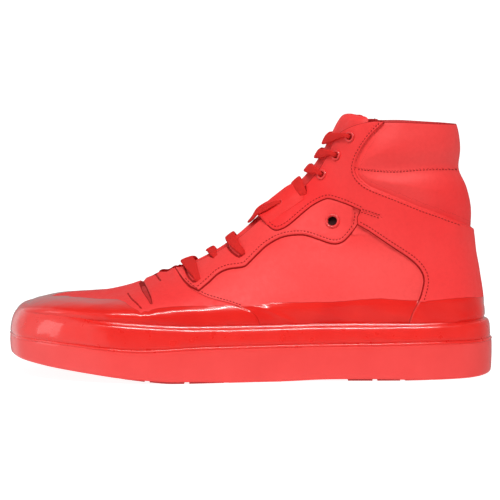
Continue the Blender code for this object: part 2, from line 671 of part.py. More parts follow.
for k, (row, tilt, half) in enumerate(LACE_ROW):
    rings = []
    for s in np.linspace(-1, 1, 13):
        a = abs(s) * half
        u = row - tilt * abs(s)
        p, n, up = frame_at(u, a, -1 if s < 0 else 1)
        c = p + n * (0.55 + LACE_T / 2)
        rings.append([c + up * LACE_W * x / 2 + n * LACE_T * y / 2 for x, y in
                      ((-1, -0.5), (-0.8, -1), (0.8, -1), (1, -0.5), (1, 0.5), (0.8, 1), (-0.8, 1), (-1, 0.5))])
    verts = [p for r in rings for p in r]
    lf = [(i * 8 + j, i * 8 + (j + 1) % 8, (i + 1) * 8 + (j + 1) % 8, (i + 1) * 8 + j)
          for i in range(len(rings) - 1) for j in range(8)]
    lf += [tuple(range(7, -1, -1)), tuple((len(rings) - 1) * 8 + j for j in range(8))]
    solid(f"lace_{k + 1}", verts, lf, "lace")


# ---------------------------------------------------------------- eyelets
def locate(x, z, side):
    """Row and share of the surface point at a side-view place."""
    us = np.linspace(12, 30, 73)
    vs = np.linspace(0.45, 0.97, 53)
    grid = surface_at(*np.meshgrid(us, vs, indexing="ij"), side)
    d = (grid[..., 0] - x) ** 2 + (grid[..., 2] - z) ** 2
    i, j = np.unravel_index(np.argmin(d), d.shape)
    return us[i], vs[j]


def lathe(name, centre, axis, ring, n_seg, mat):
    axis = Vector(axis)
    turn = axis.to_track_quat('Z', 'Y').to_matrix()
    verts, faces = [], []
    for i in range(n_seg):
        a = 2 * math.pi * i / n_seg
        for r, h in ring:
            p = turn @ Vector((r * math.cos(a), r * math.sin(a), h))
            verts.append((centre[0] + p.x, centre[1] + p.y, centre[2] + p.z))
    m = len(ring)
    for i in range(n_seg):
        for j in range(m):
            i2, j2 = (i + 1) % n_seg, (j + 1) % m
            faces.append((i * m + j, i2 * m + j, i2 * m + j2, i * m + j2))
    return solid(name, verts, faces, mat)


def rod(name, centre, axis, r, lo, hi, n_seg=12):
    axis = Vector(axis)
    turn = axis.to_track_quat('Z', 'Y').to_matrix()
    verts = []
    for h in (lo, hi):
        for i in range(n_seg):
            a = 2 * math.pi * (i + 0.0) / n_seg
            p = turn @ Vector((r * math.cos(a), r * math.sin(a), h))
            verts.append((centre[0] + p.x, centre[1] + p.y, centre[2] + p.z))
    faces = [tuple(range(n_seg - 1, -1, -1)), tuple(range(n_seg, 2 * n_seg))]
    faces += [(i, (i + 1) % n_seg, n_seg + (i + 1) % n_seg, n_seg + i) for i in range(n_seg)]
    return verts, faces


cut_v, cut_f = [], []
for side, word in ((-1, "lateral"), (1, "medial")):
    for tag, ex, ez, hole, flange in EYELET:
        u, v = locate(ex, ez, side)
        ug, vg = np.array([[u]]), np.array([[v]])
        p = surface_at(ug, vg, side)[0, 0]
        n = normals_at(ug, vg, side)[0, 0]
        print(word, tag, "row", round(float(u), 2), "arc", round(float((1 - v) * half_length(u)), 2), p.round(1))
        barrel = hole + 0.6
        ring = [(hole, 1.2), (hole, -WALL - 0.4), (barrel, -WALL - 0.4), (barrel, 0.45),
                (flange, 0.45), (flange - 0.4, 1.2)]
        lathe(f"eyelet_{word}_{tag}", p, n, ring, 12, "eyelet")
        v2, f2 = rod("", p, n, barrel + GAP, -WALL - 6.0, 6.0)
        f2 = [tuple(len(cut_v) + a for a in f) for f in f2]
        cut_v += v2
        cut_f += f2
holes = solid("eyelet_hole_cutter", cut_v, cut_f, None)
mod = upper.modifiers.new("eyelet_holes", 'BOOLEAN')
mod.operation, mod.solver, mod.object = 'DIFFERENCE', 'EXACT', holes

# ---------------------------------------------------------------- stand on the origin
lo = np.array([1e9] * 3)
hi = -lo
for obj in MADE:
    if obj.hide_render:
        continue
    co = np.array([v.co for v in obj.data.vertices])
    lo, hi = np.minimum(lo, co.min(0)), np.maximum(hi, co.max(0))
move = Vector((-(lo[0] + hi[0]) / 2, -(lo[1] + hi[1]) / 2, -lo[2]))
for obj in MADE:
    obj.data.transform(Matrix.Translation(move))
print("moved", [round(c * 1000, 3) for c in move], "size", [round(float(c) * 1000, 2) for c in hi - lo])
for obj in MADE:
    print(obj.name, sum(len(p.vertices) - 2 for p in obj.data.polygons))
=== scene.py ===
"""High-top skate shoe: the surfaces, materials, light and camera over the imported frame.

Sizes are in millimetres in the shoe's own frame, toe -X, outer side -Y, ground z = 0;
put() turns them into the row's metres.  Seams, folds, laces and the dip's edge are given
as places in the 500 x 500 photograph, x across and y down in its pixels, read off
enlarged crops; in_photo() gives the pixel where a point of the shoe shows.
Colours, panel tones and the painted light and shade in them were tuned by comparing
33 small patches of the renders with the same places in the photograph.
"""
import math

import bmesh
import bpy
import numpy as np
from mathutils import Matrix, Vector


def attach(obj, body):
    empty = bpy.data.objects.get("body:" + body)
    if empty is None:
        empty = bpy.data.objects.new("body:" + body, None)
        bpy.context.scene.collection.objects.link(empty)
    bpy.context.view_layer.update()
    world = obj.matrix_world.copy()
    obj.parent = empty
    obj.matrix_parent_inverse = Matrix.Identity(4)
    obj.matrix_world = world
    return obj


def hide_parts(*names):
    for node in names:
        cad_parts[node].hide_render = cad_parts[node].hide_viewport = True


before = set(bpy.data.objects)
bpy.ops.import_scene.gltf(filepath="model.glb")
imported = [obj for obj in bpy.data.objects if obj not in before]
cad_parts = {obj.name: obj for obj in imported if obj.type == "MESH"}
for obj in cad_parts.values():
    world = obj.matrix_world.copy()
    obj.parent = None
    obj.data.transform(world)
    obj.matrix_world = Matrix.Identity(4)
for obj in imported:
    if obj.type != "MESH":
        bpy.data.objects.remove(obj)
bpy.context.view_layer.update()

# ---------------------------------------------------------------- named sizes (mm)
X_HEEL = 152.0          # back end of the sole at its band line
X_TOE = -152.5          # front end of the sole at its band line
Y_TOE = 5.0             # the toe curves in towards the other foot
LEDGE_INSET = 5.3       # upper's outer face at the ledge, in from the band line
GAP = 0.3               # between curved pieces that meet
WALL = 2.4              # leather and lining together
COLLAR_PAD = 4.0        # extra thickness of the padded collar
TRAY_FLOOR = 4.7        # thickness of the midsole under the foot
INSOLE = 4.0
SKIRT_IN = 1.5          # how far the upper draws in below the ledge
TREAD = 2.0             # depth of the cross grooves
LACE_W, LACE_T = 6.2, 1.5

# plan outline at the band line: part of the length from the heel, half widths
OUTLINE = (
    # t, outer side, inner side
    (0.03, 22.0, 22.0), (0.08, 33.0, 33.0), (0.15, 38.5, 39.0), (0.22, 40.5, 40.0),
    (0.30, 40.8, 38.0), (0.38, 42.0, 35.5), (0.46, 44.8, 35.5), (0.54, 48.5, 39.0),
    (0.62, 52.3, 45.5), (0.68, 53.8, 50.0), (0.74, 53.4, 52.8), (0.80, 50.5, 52.6),
    (0.86, 45.0, 49.3), (0.91, 37.8, 43.6), (0.95, 28.8, 35.6), (0.98, 17.5, 25.0),
)
# under edge of the sole, band line and ledge line: distance along, height
UNDER = ((-156, 13.6), (-150, 12.4), (-142, 10.8), (-128, 8.9), (-108, 6.6), (-88, 4.2),
         (-70, 2.0), (-56, 0.5), (-50, 0.0), (-44, 0.0), (0, 0.0), (60, 0.0), (120, 0.0),
         (138, 0.0), (144, 0.0), (150, 0.5), (156, 1.4))
BAND = ((-156, 25.0), (-140, 24.5), (-125, 24.4), (-105, 23.0), (-85, 20.9), (-68, 20.0),
        (-50, 20.8), (-34, 21.9), (5, 22.0), (50, 22.4), (76, 22.6), (105, 23.2),
        (125, 23.2), (140, 22.6), (156, 22.0))
LEDGE = ((-150, 36.6), (-138, 37.2), (-116, 37.4), (-90, 36.4), (-66, 34.8), (-44, 33.4),
         (-20, 33.2), (10, 33.1), (60, 33.8), (95, 33.5), (122, 33.7), (140, 34.2),
         (152, 34.5))
# back line of the upper above the ledge: height, distance along
BACK = ((34.5, 147.4), (41, 146.9), (52, 145.7), (66, 143.3), (76, 141.2), (88, 139.7),
        (94, 139.0), (106, 137.0), (119, 134.0), (129, 131.9), (140, 130.6), (151, 129.2),
        (157, 127.2), (163, 124.0), (170, 120.5), (180, 116.0))
# sections: base (x on the ledge, or height on the back line), crest point,
# girth outer and inner, height share of the widest point, roundness of the upper
# and lower quarter, sideways place of the crest
ANKLE_ROW = 22
SECTION = (
    # base,   crest x, crest z, girth_o, girth_i, high, n_up, n_low, crest y
    (-147.2, -147.2,  36.6,  0.0,  0.0, 0.36, 2.15, 2.1, 5.0),
    (-146.2, -147.0,  39.6,  3.0,  3.0, 0.36, 2.15, 2.1, 5.0),
    (-143.0, -144.8,  42.3,  8.0,  8.0, 0.35, 2.20, 2.1, 5.0),
    (-137.0, -139.6,  44.9, 14.0, 14.0, 0.34, 2.25, 2.1, 5.0),
    (-128.0, -131.5,  47.2, 19.0, 19.0, 0.33, 2.30, 2.1, 5.0),
    (-116.0, -121.0,  48.8, 22.0, 22.0, 0.32, 2.30, 2.1, 5.0),
    (-102.0, -109.0,  49.9, 24.0, 25.0, 0.30, 2.25, 2.1, 5.0),
    (-88.0,   -97.0,  51.2, 25.0, 27.0, 0.28, 2.20, 2.1, 5.0),
    (-74.0,   -85.5,  52.8, 26.0, 28.0, 0.26, 2.10, 2.1, 5.0),
    (-60.0,   -75.0,  55.4, 27.0, 29.0, 0.25, 2.00, 2.1, 5.0),
    (-45.0,   -66.0,  59.2, 27.5, 29.5, 0.25, 1.95, 2.1, 5.0),
    (-29.0,   -57.0,  63.2, 28.0, 30.0, 0.25, 1.90, 2.1, 5.0),
    (-12.0,   -47.5,  66.9, 28.0, 30.5, 0.25, 1.88, 2.1, 4.8),
    (6.0,     -38.0,  70.2, 28.0, 31.0, 0.25, 1.86, 2.1, 4.4),
    (25.0,    -28.5,  74.6, 28.5, 31.5, 0.26, 1.85, 2.1, 3.8),
    (45.0,    -19.5,  79.9, 29.0, 31.5, 0.27, 1.86, 2.1, 3.2),
    (65.0,    -11.0,  86.0, 29.5, 31.5, 0.28, 1.88, 2.1, 2.6),
    (84.0,     -3.0,  93.0, 30.0, 31.5, 0.30, 1.90, 2.1, 2.0),
    (102.0,     4.5, 100.3, 30.5, 31.8, 0.31, 1.92, 2.1, 1.4),
    (119.0,    11.5, 106.8, 31.4, 32.3, 0.32, 1.95, 2.1, 0.8),
    (133.0,    18.0, 112.0, 32.4, 33.0, 0.34, 1.98, 2.1, 0.3),
    (142.5,    24.0, 116.4, 33.4, 33.8, 0.36, 2.00, 2.1, 0.0),
    (34.5,     29.3, 120.9, 34.2, 34.4, 0.37, 2.02, 2.1, 0.0),   # heel corner
    (46.0,     34.0, 125.6, 34.6, 34.8, 0.38, 2.04, 2.1, 0.0),
    (60.0,     38.0, 130.3, 34.8, 35.0, 0.39, 2.06, 2.1, 0.0),
    (76.0,     41.3, 135.2, 34.8, 35.0, 0.40, 2.08, 2.1, 0.0),
    (94.0,     44.2, 140.3, 34.6, 34.8, 0.42, 2.10, 2.1, 0.0),
    (112.0,    46.9, 145.6, 34.2, 34.4, 0.44, 2.12, 2.1, 0.0),
    (128.0,    49.3, 150.5, 33.4, 33.6, 0.46, 2.15, 2.1, 0.0),
    (143.0,    51.8, 155.2, 32.4, 32.6, 0.47, 2.18, 2.1, 0.0),
    (156.8,    55.8, 160.0, 31.2, 31.4, 0.48, 2.20, 2.1, 0.0),   # collar
    (166.0,    62.0, 165.6, 29.5, 29.6, 0.48, 2.20, 2.1, 0.0),
    (174.0,    70.0, 170.5, 27.0, 27.0, 0.48, 2.20, 2.1, 0.0),
)
# level sections round the heel: how far forward they hold, and their width by height
HEEL_WRAP = (34.0, 84.0)
HEEL_WIDTH = ((36, 1.0), (48, 1.02), (62, 1.02), (80, 0.98), (100, 0.95), (120, 0.94), (140, 0.93), (157, 0.90),
              (175, 0.80))
COLLAR_ROW = 30.0
THROAT_ROW = 10.4       # where the throat opens over the ball of the foot
THROAT_ROUND = 1.0      # rows over which its round end widens
# half width of the throat opening, measured over the surface from the crest
THROAT = ((10, 8.5), (14, 9.0), (18, 10.5), (22, 12.5), (26, 14.0), (29, 15.5), (31, 16.5))
EYELET = (
    # name, distance along, height (side view), hole radius, flange radius
    ("1", 61.0, 148.6, 1.9, 3.5),
    ("2", 52.6, 137.2, 1.9, 3.5),
    ("3", 43.8, 125.4, 1.9, 3.5),
    ("strap", 50.0, 97.2, 2.9, 4.6),
)
LACE_ROW = (
    # section row where the bar crosses the crest, rows it tilts by, half length over the surface
    (28.0, -0.4, 21.0), (25.9, -0.1, 17.0), (23.8, 0.2, 13.2), (21.2, 0.1, 16.0),
    (18.6, 0.2, 15.5), (16.0, 0.1, 14.5), (13.6, 0.0, 13.0), (11.7, 0.0, 11.5),
)


# ---------------------------------------------------------------- curves
def bs(col, u, turn=False):
    """Smooth value of a table column at row number u; with turn the curve ends flat."""
    c = np.array(col, float)
    if turn:
        first, last = c[1], c[-2]
        c[0], c[-1] = (6 * c[0] - 2 * first) / 4, (6 * c[-1] - 2 * last) / 4
        ext = np.concatenate([[first], c, [last, last]])
    else:
        ext = np.concatenate([[2 * c[0] - c[1]], c, [2 * c[-1] - c[-2], 3 * c[-1] - 2 * c[-2]]])
    u = np.clip(np.asarray(u, float), 0, len(c) - 1)
    i = np.minimum(np.floor(u).astype(int), len(c) - 2)
    t = u - i
    return ((1 - t) ** 3 * ext[i] + (3 * t ** 3 - 6 * t ** 2 + 4) * ext[i + 1]
            + (-3 * t ** 3 + 3 * t ** 2 + 3 * t + 1) * ext[i + 2] + t ** 3 * ext[i + 3]) / 6


def profile(rows):
    a, b = zip(*rows)
    u = np.linspace(0, len(rows) - 1, 60 * len(rows))
    xs, ys = bs(a, u), bs(b, u)
    return lambda x: np.interp(x, xs, ys)


z_under, z_band, z_ledge, x_back = profile(UNDER), profile(BAND), profile(LEDGE), profile(BACK)


def smooth(t):
    t = np.clip(t, 0.0, 1.0)
    return t * t * (3 - 2 * t)


def outline():
    """Closed plan curve through the rows of OUTLINE with its outward normals."""
    long = X_HEEL - X_TOE
    pts = [(X_HEEL, 0.0)] + [(X_HEEL - t * long, -o) for t, o, i in OUTLINE] + [(X_TOE, Y_TOE)]
    pts += [(X_HEEL - t * long, i) for t, o, i in reversed(OUTLINE)]
    data = np.array(pts)
    n = len(data)
    a = np.zeros((n, n))
    for k in range(n):
        a[k, k], a[k, k - 1], a[k, (k + 1) % n] = 4 / 6, 1 / 6, 1 / 6
    ctrl = np.linalg.solve(a, data)
    s = np.linspace(0, n, 4000, endpoint=False)
    i = np.floor(s).astype(int)
    t = (s - i)[:, None]
    p = ((1 - t) ** 3 * ctrl[(i - 1) % n] + (3 * t ** 3 - 6 * t ** 2 + 4) * ctrl[i % n]
         + (-3 * t ** 3 + 3 * t ** 2 + 3 * t + 1) * ctrl[(i + 1) % n] + t ** 3 * ctrl[(i + 2) % n]) / 6
    d = np.roll(p, -1, 0) - np.roll(p, 1, 0)
    nrm = np.stack([-d[:, 1], d[:, 0]], 1)
    nrm /= np.linalg.norm(nrm, axis=1)[:, None]
    if (nrm[0] @ np.array([1.0, 0.0])) < 0:
        nrm = -nrm
    return p, nrm


PLAN, PLAN_N = outline()
FEATHER = PLAN - PLAN_N * LEDGE_INSET
K_HEEL, K_TOE = int(np.argmax(FEATHER[:, 0])), int(np.argmin(FEATHER[:, 0]))


def one_side(side):
    """Ledge line of one side, toe to heel: x, y and outward normal."""
    idx = np.arange(len(FEATHER))
    if side < 0:
        pick = idx[: K_TOE + 1] if K_HEEL == 0 else np.r_[np.arange(K_HEEL - len(idx), K_TOE + 1)]
        pick = pick[::-1]
    else:
        end = K_HEEL + (len(idx) if K_HEEL <= K_TOE else 0)
        pick = np.arange(K_TOE, end + 1)
    pick = pick % len(idx)
    f, nn = FEATHER[pick], PLAN_N[pick]
    keep = np.r_[True, np.diff(np.maximum.accumulate(f[:, 0])) > 0]
    return f[keep], nn[keep]


SIDE = {-1: one_side(-1), 1: one_side(1)}
X_F0, Y_F0 = FEATHER[K_TOE]
X_F1, Y_F1 = FEATHER[K_HEEL]


def ledge_y(x, side):
    f, _ = SIDE[side]
    return np.interp(x, f[:, 0], f[:, 1])


def ledge_normal(x, side):
    f, nn = SIDE[side]
    v = np.array([np.interp(x, f[:, 0], nn[:, 0]), np.interp(x, f[:, 0], nn[:, 1])])
    return v / max(np.linalg.norm(v), 1e-9)


COL = {name: [row[k] for row in SECTION] for k, name in enumerate(
    ("base", "cx", "cz", "go", "gi", "high", "nu", "nl", "cy"))}
BASE_X = [X_F0] + COL["base"][1:ANKLE_ROW] + [X_F1]
BASE_Z = COL["base"][ANKLE_ROW:]


def base(u):
    """Base point of the section at row u, side view."""
    if u <= ANKLE_ROW:
        x = float(np.clip(bs(BASE_X, u, turn=True), X_F0, X_F1))
        return x, float(z_ledge(x))
    z0 = float(z_ledge(X_F1))
    z = float(bs([z0] + BASE_Z[1:], u - ANKLE_ROW))
    x = float(x_back(z)) + (X_F1 - float(x_back(z0))) * max(0.0, 1 - (z - z0) / 30.0)
    return x, z


def half_section(u, side, n=90):
    """Half of the section at row u from the base to the crest, with its running length."""
    bx, bz = base(u)
    cx, cz = float(bs(COL["cx"], u)), float(bs(COL["cz"], u))
    if u <= 0:
        cx, cz = bx, bz
    h_all = math.hypot(cx - bx, cz - bz)
    yc = float(bs(COL["cy"], u)) if u > 0 else Y_F0
    e = max(0.0, side * (float(ledge_y(bx, side)) - yc)) if u < ANKLE_ROW else 0.0
    m = max(float(bs(COL["go" if side < 0 else "gi"], u)), 0.35 * e + 1e-3)
    wide = (e ** 4 + m ** 4) ** 0.25
    c, nu, nl = (float(bs(COL[k], u)) for k in ("high", "nu", "nl"))
    low = c * h_all / max(1e-6, 1 - (e / wide) ** nl) ** (1 / nl) if h_all > 0 else 0.0
    f0 = math.asin(min(1.0, (c * h_all / low) ** (nl / 2))) if low > 0 else 0.0
    fa = np.linspace(f0, 0, n)[:-1]
    fb = np.linspace(0, math.pi / 2, n)
    h = np.r_[c * h_all - low * np.sin(fa) ** (2 / nl),
              c * h_all + (1 - c) * h_all * np.sin(fb) ** (2 / nu)]
    w = np.r_[wide * np.cos(fa) ** (2 / nl), wide * np.abs(np.cos(fb)) ** (2 / nu)]
    h[0], w[0], w[-1] = 0.0, e, 0.0
    k = h / h_all if h_all > 0 else h * 0
    x, y, z = bx + (cx - bx) * k, yc + side * w, bz + (cz - bz) * k
    if u > 12:
        # round the heel the level sections follow the ledge line, set in with the back line
        back = np.where(z > 36.0, x_back(z), X_F1)
        back = back + (X_F1 - float(x_back(36.0))) * np.clip(1 - (z - 36.0) / 30.0, 0, 1) * (z > 36.0)
        behind = 1 - smooth((back - x - HEEL_WRAP[0]) / (HEEL_WRAP[1] - HEEL_WRAP[0]))
        level = ledge_y(np.clip(x + X_F1 - back, X_F0, X_F1), side)
        level = level * np.interp(z, *zip(*HEEL_WIDTH))
        y = y * (1 - behind) + level * behind
    pts = np.stack([x, y, z], 1)
    run = np.r_[0, np.cumsum(np.linalg.norm(np.diff(pts, axis=0), axis=1))]
    return pts, run


def form(side):
    """Table of the outer face, rows by shares, eased over the fan's turn at the heel."""
    us = np.linspace(0, len(SECTION) - 1, FINE * (len(SECTION) - 1) + 1)
    vs = np.linspace(0, 1, FINE_V + 1)
    g = np.zeros((len(us), len(vs), 3))
    length = np.zeros(len(us))
    for i, ui in enumerate(us):
        pts, run = half_section(float(ui), side)
        length[i] = run[-1]
        for k in range(3):
            g[i, :, k] = np.interp(vs * run[-1], run, pts[:, k])
    share = (1 - smooth((np.abs(us - ANKLE_ROW) - 2.2) / 1.6))[:, None, None] * smooth((vs - 0.3) / 0.15)[None, :, None]
    for _ in range(EASE):
        mean = g.copy()
        mean[1:-1] = 0.25 * g[:-2] + 0.5 * g[1:-1] + 0.25 * g[2:]
        g = g + (mean - g) * share
    return g, length


FINE, FINE_V, EASE = 14, 260, 110
FORM = {-1: form(-1), 1: form(1)}
SHIFT = np.array([0.25, 0.356, 0.0])     # shoe frame to row frame
MM = 0.001


# both halves meet on the centre line of the heel
for side_ in (-1, 1):
    grid_ = FORM[side_][0]
    easing = np.clip(1 - np.arange(16) / 16.0, 0, 1)[None, :]
    grid_[ANKLE_ROW * FINE:, :16, 1] -= grid_[ANKLE_ROW * FINE:, :1, 1] * easing


def form_normals():
    out = {}
    for side in (-1, 1):
        g = FORM[side][0]
        n = np.cross(np.gradient(g, axis=0), np.gradient(g, axis=1)) * (-side)
        n /= np.maximum(np.linalg.norm(n, axis=-1)[..., None], 1e-9)
        n[0] = (-1, 0, 0)
        out[side] = n
    k = ANKLE_ROW * FINE
    for col, rows in ((0, slice(k, None)), (-1, slice(1, None))):
        both = out[-1][rows, col] + out[1][rows, col]
        both /= np.linalg.norm(both, axis=-1)[..., None]
        out[-1][rows, col] = out[1][rows, col] = both
    return out


NORMAL = form_normals()


def look(table, u, v):
    a = np.clip(np.asarray(u, float) * FINE, 0, table.shape[0] - 1.001)
    b = np.clip(np.asarray(v, float) * FINE_V, 0, table.shape[1] - 1.001)
    i, j = a.astype(int), b.astype(int)
    p, q = (a - i)[..., None], (b - j)[..., None]
    return (table[i, j] * (1 - p) * (1 - q) + table[i + 1, j] * p * (1 - q)
            + table[i, j + 1] * (1 - p) * q + table[i + 1, j + 1] * p * q)


def skin(u, v, side):
    p, n = look(FORM[side][0], u, v), look(NORMAL[side], u, v)
    return p, n / np.maximum(np.linalg.norm(n, axis=-1)[..., None], 1e-9)


def half_length(u):
    g, length = FORM[-1]
    return np.interp(np.asarray(u) * FINE, np.arange(len(length)), length)


def throat_gap(u):
    """Half width of the throat opening at row u (0 ahead of it)."""
    rows, wid = zip(*THROAT)
    t = np.clip((u - THROAT_ROW) / THROAT_ROUND, 0, 1)
    return np.interp(u, rows, wid) * np.sqrt(np.clip(1 - (1 - t) ** 2, 0, 1))


# ---------------------------------------------------------------- the camera and the photograph's frame
EYE = np.array([-0.63, -1200.0, 189.0])
TILT = math.radians(5.33)
FOCUS = 1913.0          # photo pixels


def in_photo(p):
    """Where shoe points show in the photograph, in its pixels; the inner side is mirrored."""
    y = -np.abs(p[..., 1])
    dy, dz = y - EYE[1], EYE[2] - p[..., 2]
    depth = dy * math.cos(TILT) + dz * math.sin(TILT)
    return (250 + FOCUS * (p[..., 0] - EYE[0]) / depth,
            250 + FOCUS * (dz * math.cos(TILT) - dy * math.sin(TILT)) / depth)


UNIT = 0.625            # mm in one photo pixel on the near side

# seams, each a line or an outline in the photograph's pixels, read off enlarged crops
VAMP_EDGE = ((160, 246), (168, 258), (174, 265.5), (183, 278.5), (190, 285.5), (198, 290.5), (208, 295.5),
             (227, 301), (241, 306.5), (256, 316), (262, 332))
STRAP = ((198.5, 288.5), (208.5, 280), (217.4, 271.5), (227.6, 267), (242.5, 265), (247.5, 261.5), (257, 252),
         (266, 244), (278.5, 237), (288, 234.4), (299, 233.5), (307, 234.4), (319, 238.4), (332, 242.6),
         (341, 241.6), (347.5, 236.5), (353, 229.5), (357.2, 222), (358.5, 212))
STRAP_BACK = ((366, 195), (330, 140), (250, 180), (200, 225), (160, 246), (168, 258), (174, 265.5), (183, 277), (190, 284))
COLLAR_SEAM = ((388, 112), (384, 121.7), (370, 136), (361, 149), (355.5, 160), (354, 169), (356, 176), (361, 182),
               (370, 188), (396, 198.4), (421, 208.6), (438, 214.5), (460, 223), (484, 233))
REAR_EDGE = ((357.5, 224.5), (363, 227.6), (370, 231.6), (389, 244.3), (408.6, 257), (417.5, 264.5), (423, 272),
             (425, 279), (424.5, 286), (422, 296), (419, 303), (413, 314), (408, 330))
LOBE = ((249, 205), (257, 213.5), (264, 220.5), (271, 227.5), (277, 229.4), (287, 225), (302, 212.5), (311, 205.4),
        (318, 201.3), (325, 198.4), (331, 198.4), (346, 203.5), (360.5, 210))
BAND_SEAM = ((350, 166.5), (356, 168), (371, 169.7), (395, 170.8), (427, 168.6), (461, 168), (480, 167.5))
SLOT = ((360.5, 210.2), (371, 213.6), (382, 217.5))
DIP_LINE = ((-60, 296), (20, 296), (47, 296), (80, 296.4), (117, 297.5), (125, 300.6), (132, 305.5), (140, 310.2),
            (147, 309.6), (155, 307.5), (170, 306), (188, 305), (227, 304), (250, 305.6), (268, 303.4), (283, 302),
            (330, 302), (356, 300.4), (382, 298.6), (408, 300.7), (421, 301.2), (438, 299.6), (456, 298.4),
            (485, 296), (560, 296))
# soft folds, placed the same way: line, depth mm (+ in), half width in pixels
# the front pleat's wedge, an outline in pixels: a recess whose inside the material paints dark as shade
WEDGE = ((137.8, 280.5), (143.2, 280), (147.2, 287.5), (150.6, 295), (152, 301.5), (150.3, 302), (146.6, 296), (141.5, 289))
# slits and the shadows along the laces' ends and edges, each a line in pixels: painted shade in the material over a
# shallow groove
SHADE_SLITS = (
    # line, half width mm
    ((127.5, 291.5), (131.5, 297), (136.5, 301.5), (141, 306.5)), 0.35,
    ((184.2, 262), (185.2, 268), (187.5, 274.5), (193.3, 280.4), (197, 279.2)), 0.6,
    ((224.6, 241), (228, 247), (232.2, 252), (238.5, 255.8), (243.4, 252.6)), 0.6,
    ((155.2, 273.2), (157.5, 276.5), (160, 279)), 0.35,
    ((206.5, 250.5), (209, 254.5), (213, 256.8)), 0.35,
    ((304.2, 180.5), (304.8, 187), (305.4, 192.8)), 0.55,
)
FOLDS = (
    (((144.5, 279), (149, 286), (152.8, 292.5), (156, 300)), -0.5, 2.6),
    (((130.5, 286), (135, 293), (141, 299.5), (146, 305)), -0.45, 4.0),
    (((163, 268), (168, 274), (176, 281)), 0.25, 3.0),
    (((154, 248), (157, 262), (160, 273), (163, 284)), -1.9, 4.5),
    (((168, 244), (171, 257), (174, 268), (178, 278)), -1.7, 5.0),
    (((206, 232), (209, 243), (213, 255)), -0.8, 4.0),
    (((152, 276), (160, 284), (171, 293), (186, 301)), 0.35, 5.0),
    (((60, 288), (80, 289), (100, 290), (118, 293)), 0.25, 4.0),
    (((206, 300), (236, 296), (262, 297)), 0.25, 6.0),
    (((242, 303.5), (262, 308), (280, 316), (300, 326)), -0.55, 2.4),
    (((262, 300), (300, 291), (345, 292), (392, 297)), -0.35, 9.0),
    (((372, 262), (384, 272), (392, 286), (394, 300)), 0.35, 8.0),
    (((345, 250), (352, 262), (366, 276)), 0.25, 8.0),
    (((440, 232), (446, 250), (452, 270)), 0.35, 9.0),
    (((424, 230), (438, 240), (458, 246), (474, 247)), 0.3, 6.0),
    (((375, 196), (396, 206), (420, 217), (446, 226)), -0.25, 8.0),
    (((335, 176), (340, 186), (352, 196)), 0.3, 7.0),
    (((308, 186), (300, 196), (290, 206)), 0.3, 6.0),
    (((262, 236), (252, 244), (244, 252)), 0.3, 5.0),
    (((218, 256), (224, 262), (232, 263)), 0.25, 5.0),
    (((392, 143), (410, 138), (432, 138), (448, 141)), -0.3, 7.0),
    (((372, 176), (396, 181), (420, 180), (446, 177)), -0.35, 6.0),
)


def bend(points, step=2.0, closed=False):
    """Even points along a smooth line through the given ones."""
    p = np.array(points, float)
    if closed:
        ext = np.vstack([p[-1], p, p[0], p[1]])
    else:
        ext = np.vstack([2 * p[0] - p[1], p, 2 * p[-1] - p[-2]])
    out = []
    for k in range(len(ext) - 3):
        a, b, c, d = ext[k:k + 4]
        n = max(2, int(np.linalg.norm(c - b) / step))
        t = (np.arange(n) / n)[:, None]
        out.append(0.5 * (2 * b + (c - a) * t + (2 * a - 5 * b + 4 * c - d) * t ** 2 + (3 * b - a - 3 * c + d) * t ** 3))
    if not closed:
        out.append(p[-1:])
    return np.vstack(out)


def away(x, y, line, closed=False):
    """Distance to a line in photo pixels."""
    best = np.full(x.shape, 1e9)
    pts = np.vstack([line, line[:1]]) if closed else line
    for a, b in zip(pts[:-1], pts[1:]):
        d = b - a
        t = np.clip(((x - a[0]) * d[0] + (y - a[1]) * d[1]) / max(d @ d, 1e-9), 0, 1)
        best = np.minimum(best, (x - a[0] - t * d[0]) ** 2 + (y - a[1] - t * d[1]) ** 2)
    return np.sqrt(best)


def within(x, y, line):
    inside = np.zeros(x.shape, bool)
    for a, b in zip(line, np.roll(line, -1, 0)):
        hit = ((a[1] > y) != (b[1] > y))
        with np.errstate(divide='ignore', invalid='ignore'):
            inside ^= hit & (x < (b[0] - a[0]) * (y - a[1]) / (b[1] - a[1]) + a[0])
    return inside


def signed(x, y, line):
    d = away(x, y, line, True)
    return np.where(within(x, y, line), d, -d) * UNIT


OUT_STRAP = np.vstack([bend(STRAP), np.array(STRAP_BACK)])
OUT_UP = np.vstack([bend(COLLAR_SEAM), [(520, 245), (530, 360), (404, 360)], bend(REAR_EDGE)[::-1],
                    [(357.2, 218)], bend(LOBE)[::-1], [(225, 190), (290, 120), (330, 95), (370, 90)]])
OUT_VAMP = np.vstack([bend(VAMP_EDGE), [(262, 420), (-80, 420), (-80, 150), (150, 150)]])
BAND_LINE, SLOT_LINE, WEDGE_LINE = bend(BAND_SEAM), bend(SLOT), np.array(WEDGE, float)
SHADE_SLIT_LINES = [(bend(SHADE_SLITS[k]), SHADE_SLITS[k + 1]) for k in range(0, len(SHADE_SLITS), 2)]
FOLD_LINES = [(bend(line, 3.0), depth, half) for line, depth, half in FOLDS]


def waves(x, y, z, seed, size):
    """Smooth noise in -1..1 made of a few turned sine waves; size in mm."""
    rng = np.random.default_rng(seed)
    total = 0
    for _ in range(7):
        d = rng.normal(size=3)
        d *= 2 * math.pi / size / np.linalg.norm(d) * rng.uniform(0.6, 1.5)
        total = total + np.sin(d[0] * x + d[1] * y + d[2] * z + rng.uniform(0, 6.3))
    return total / 3.2


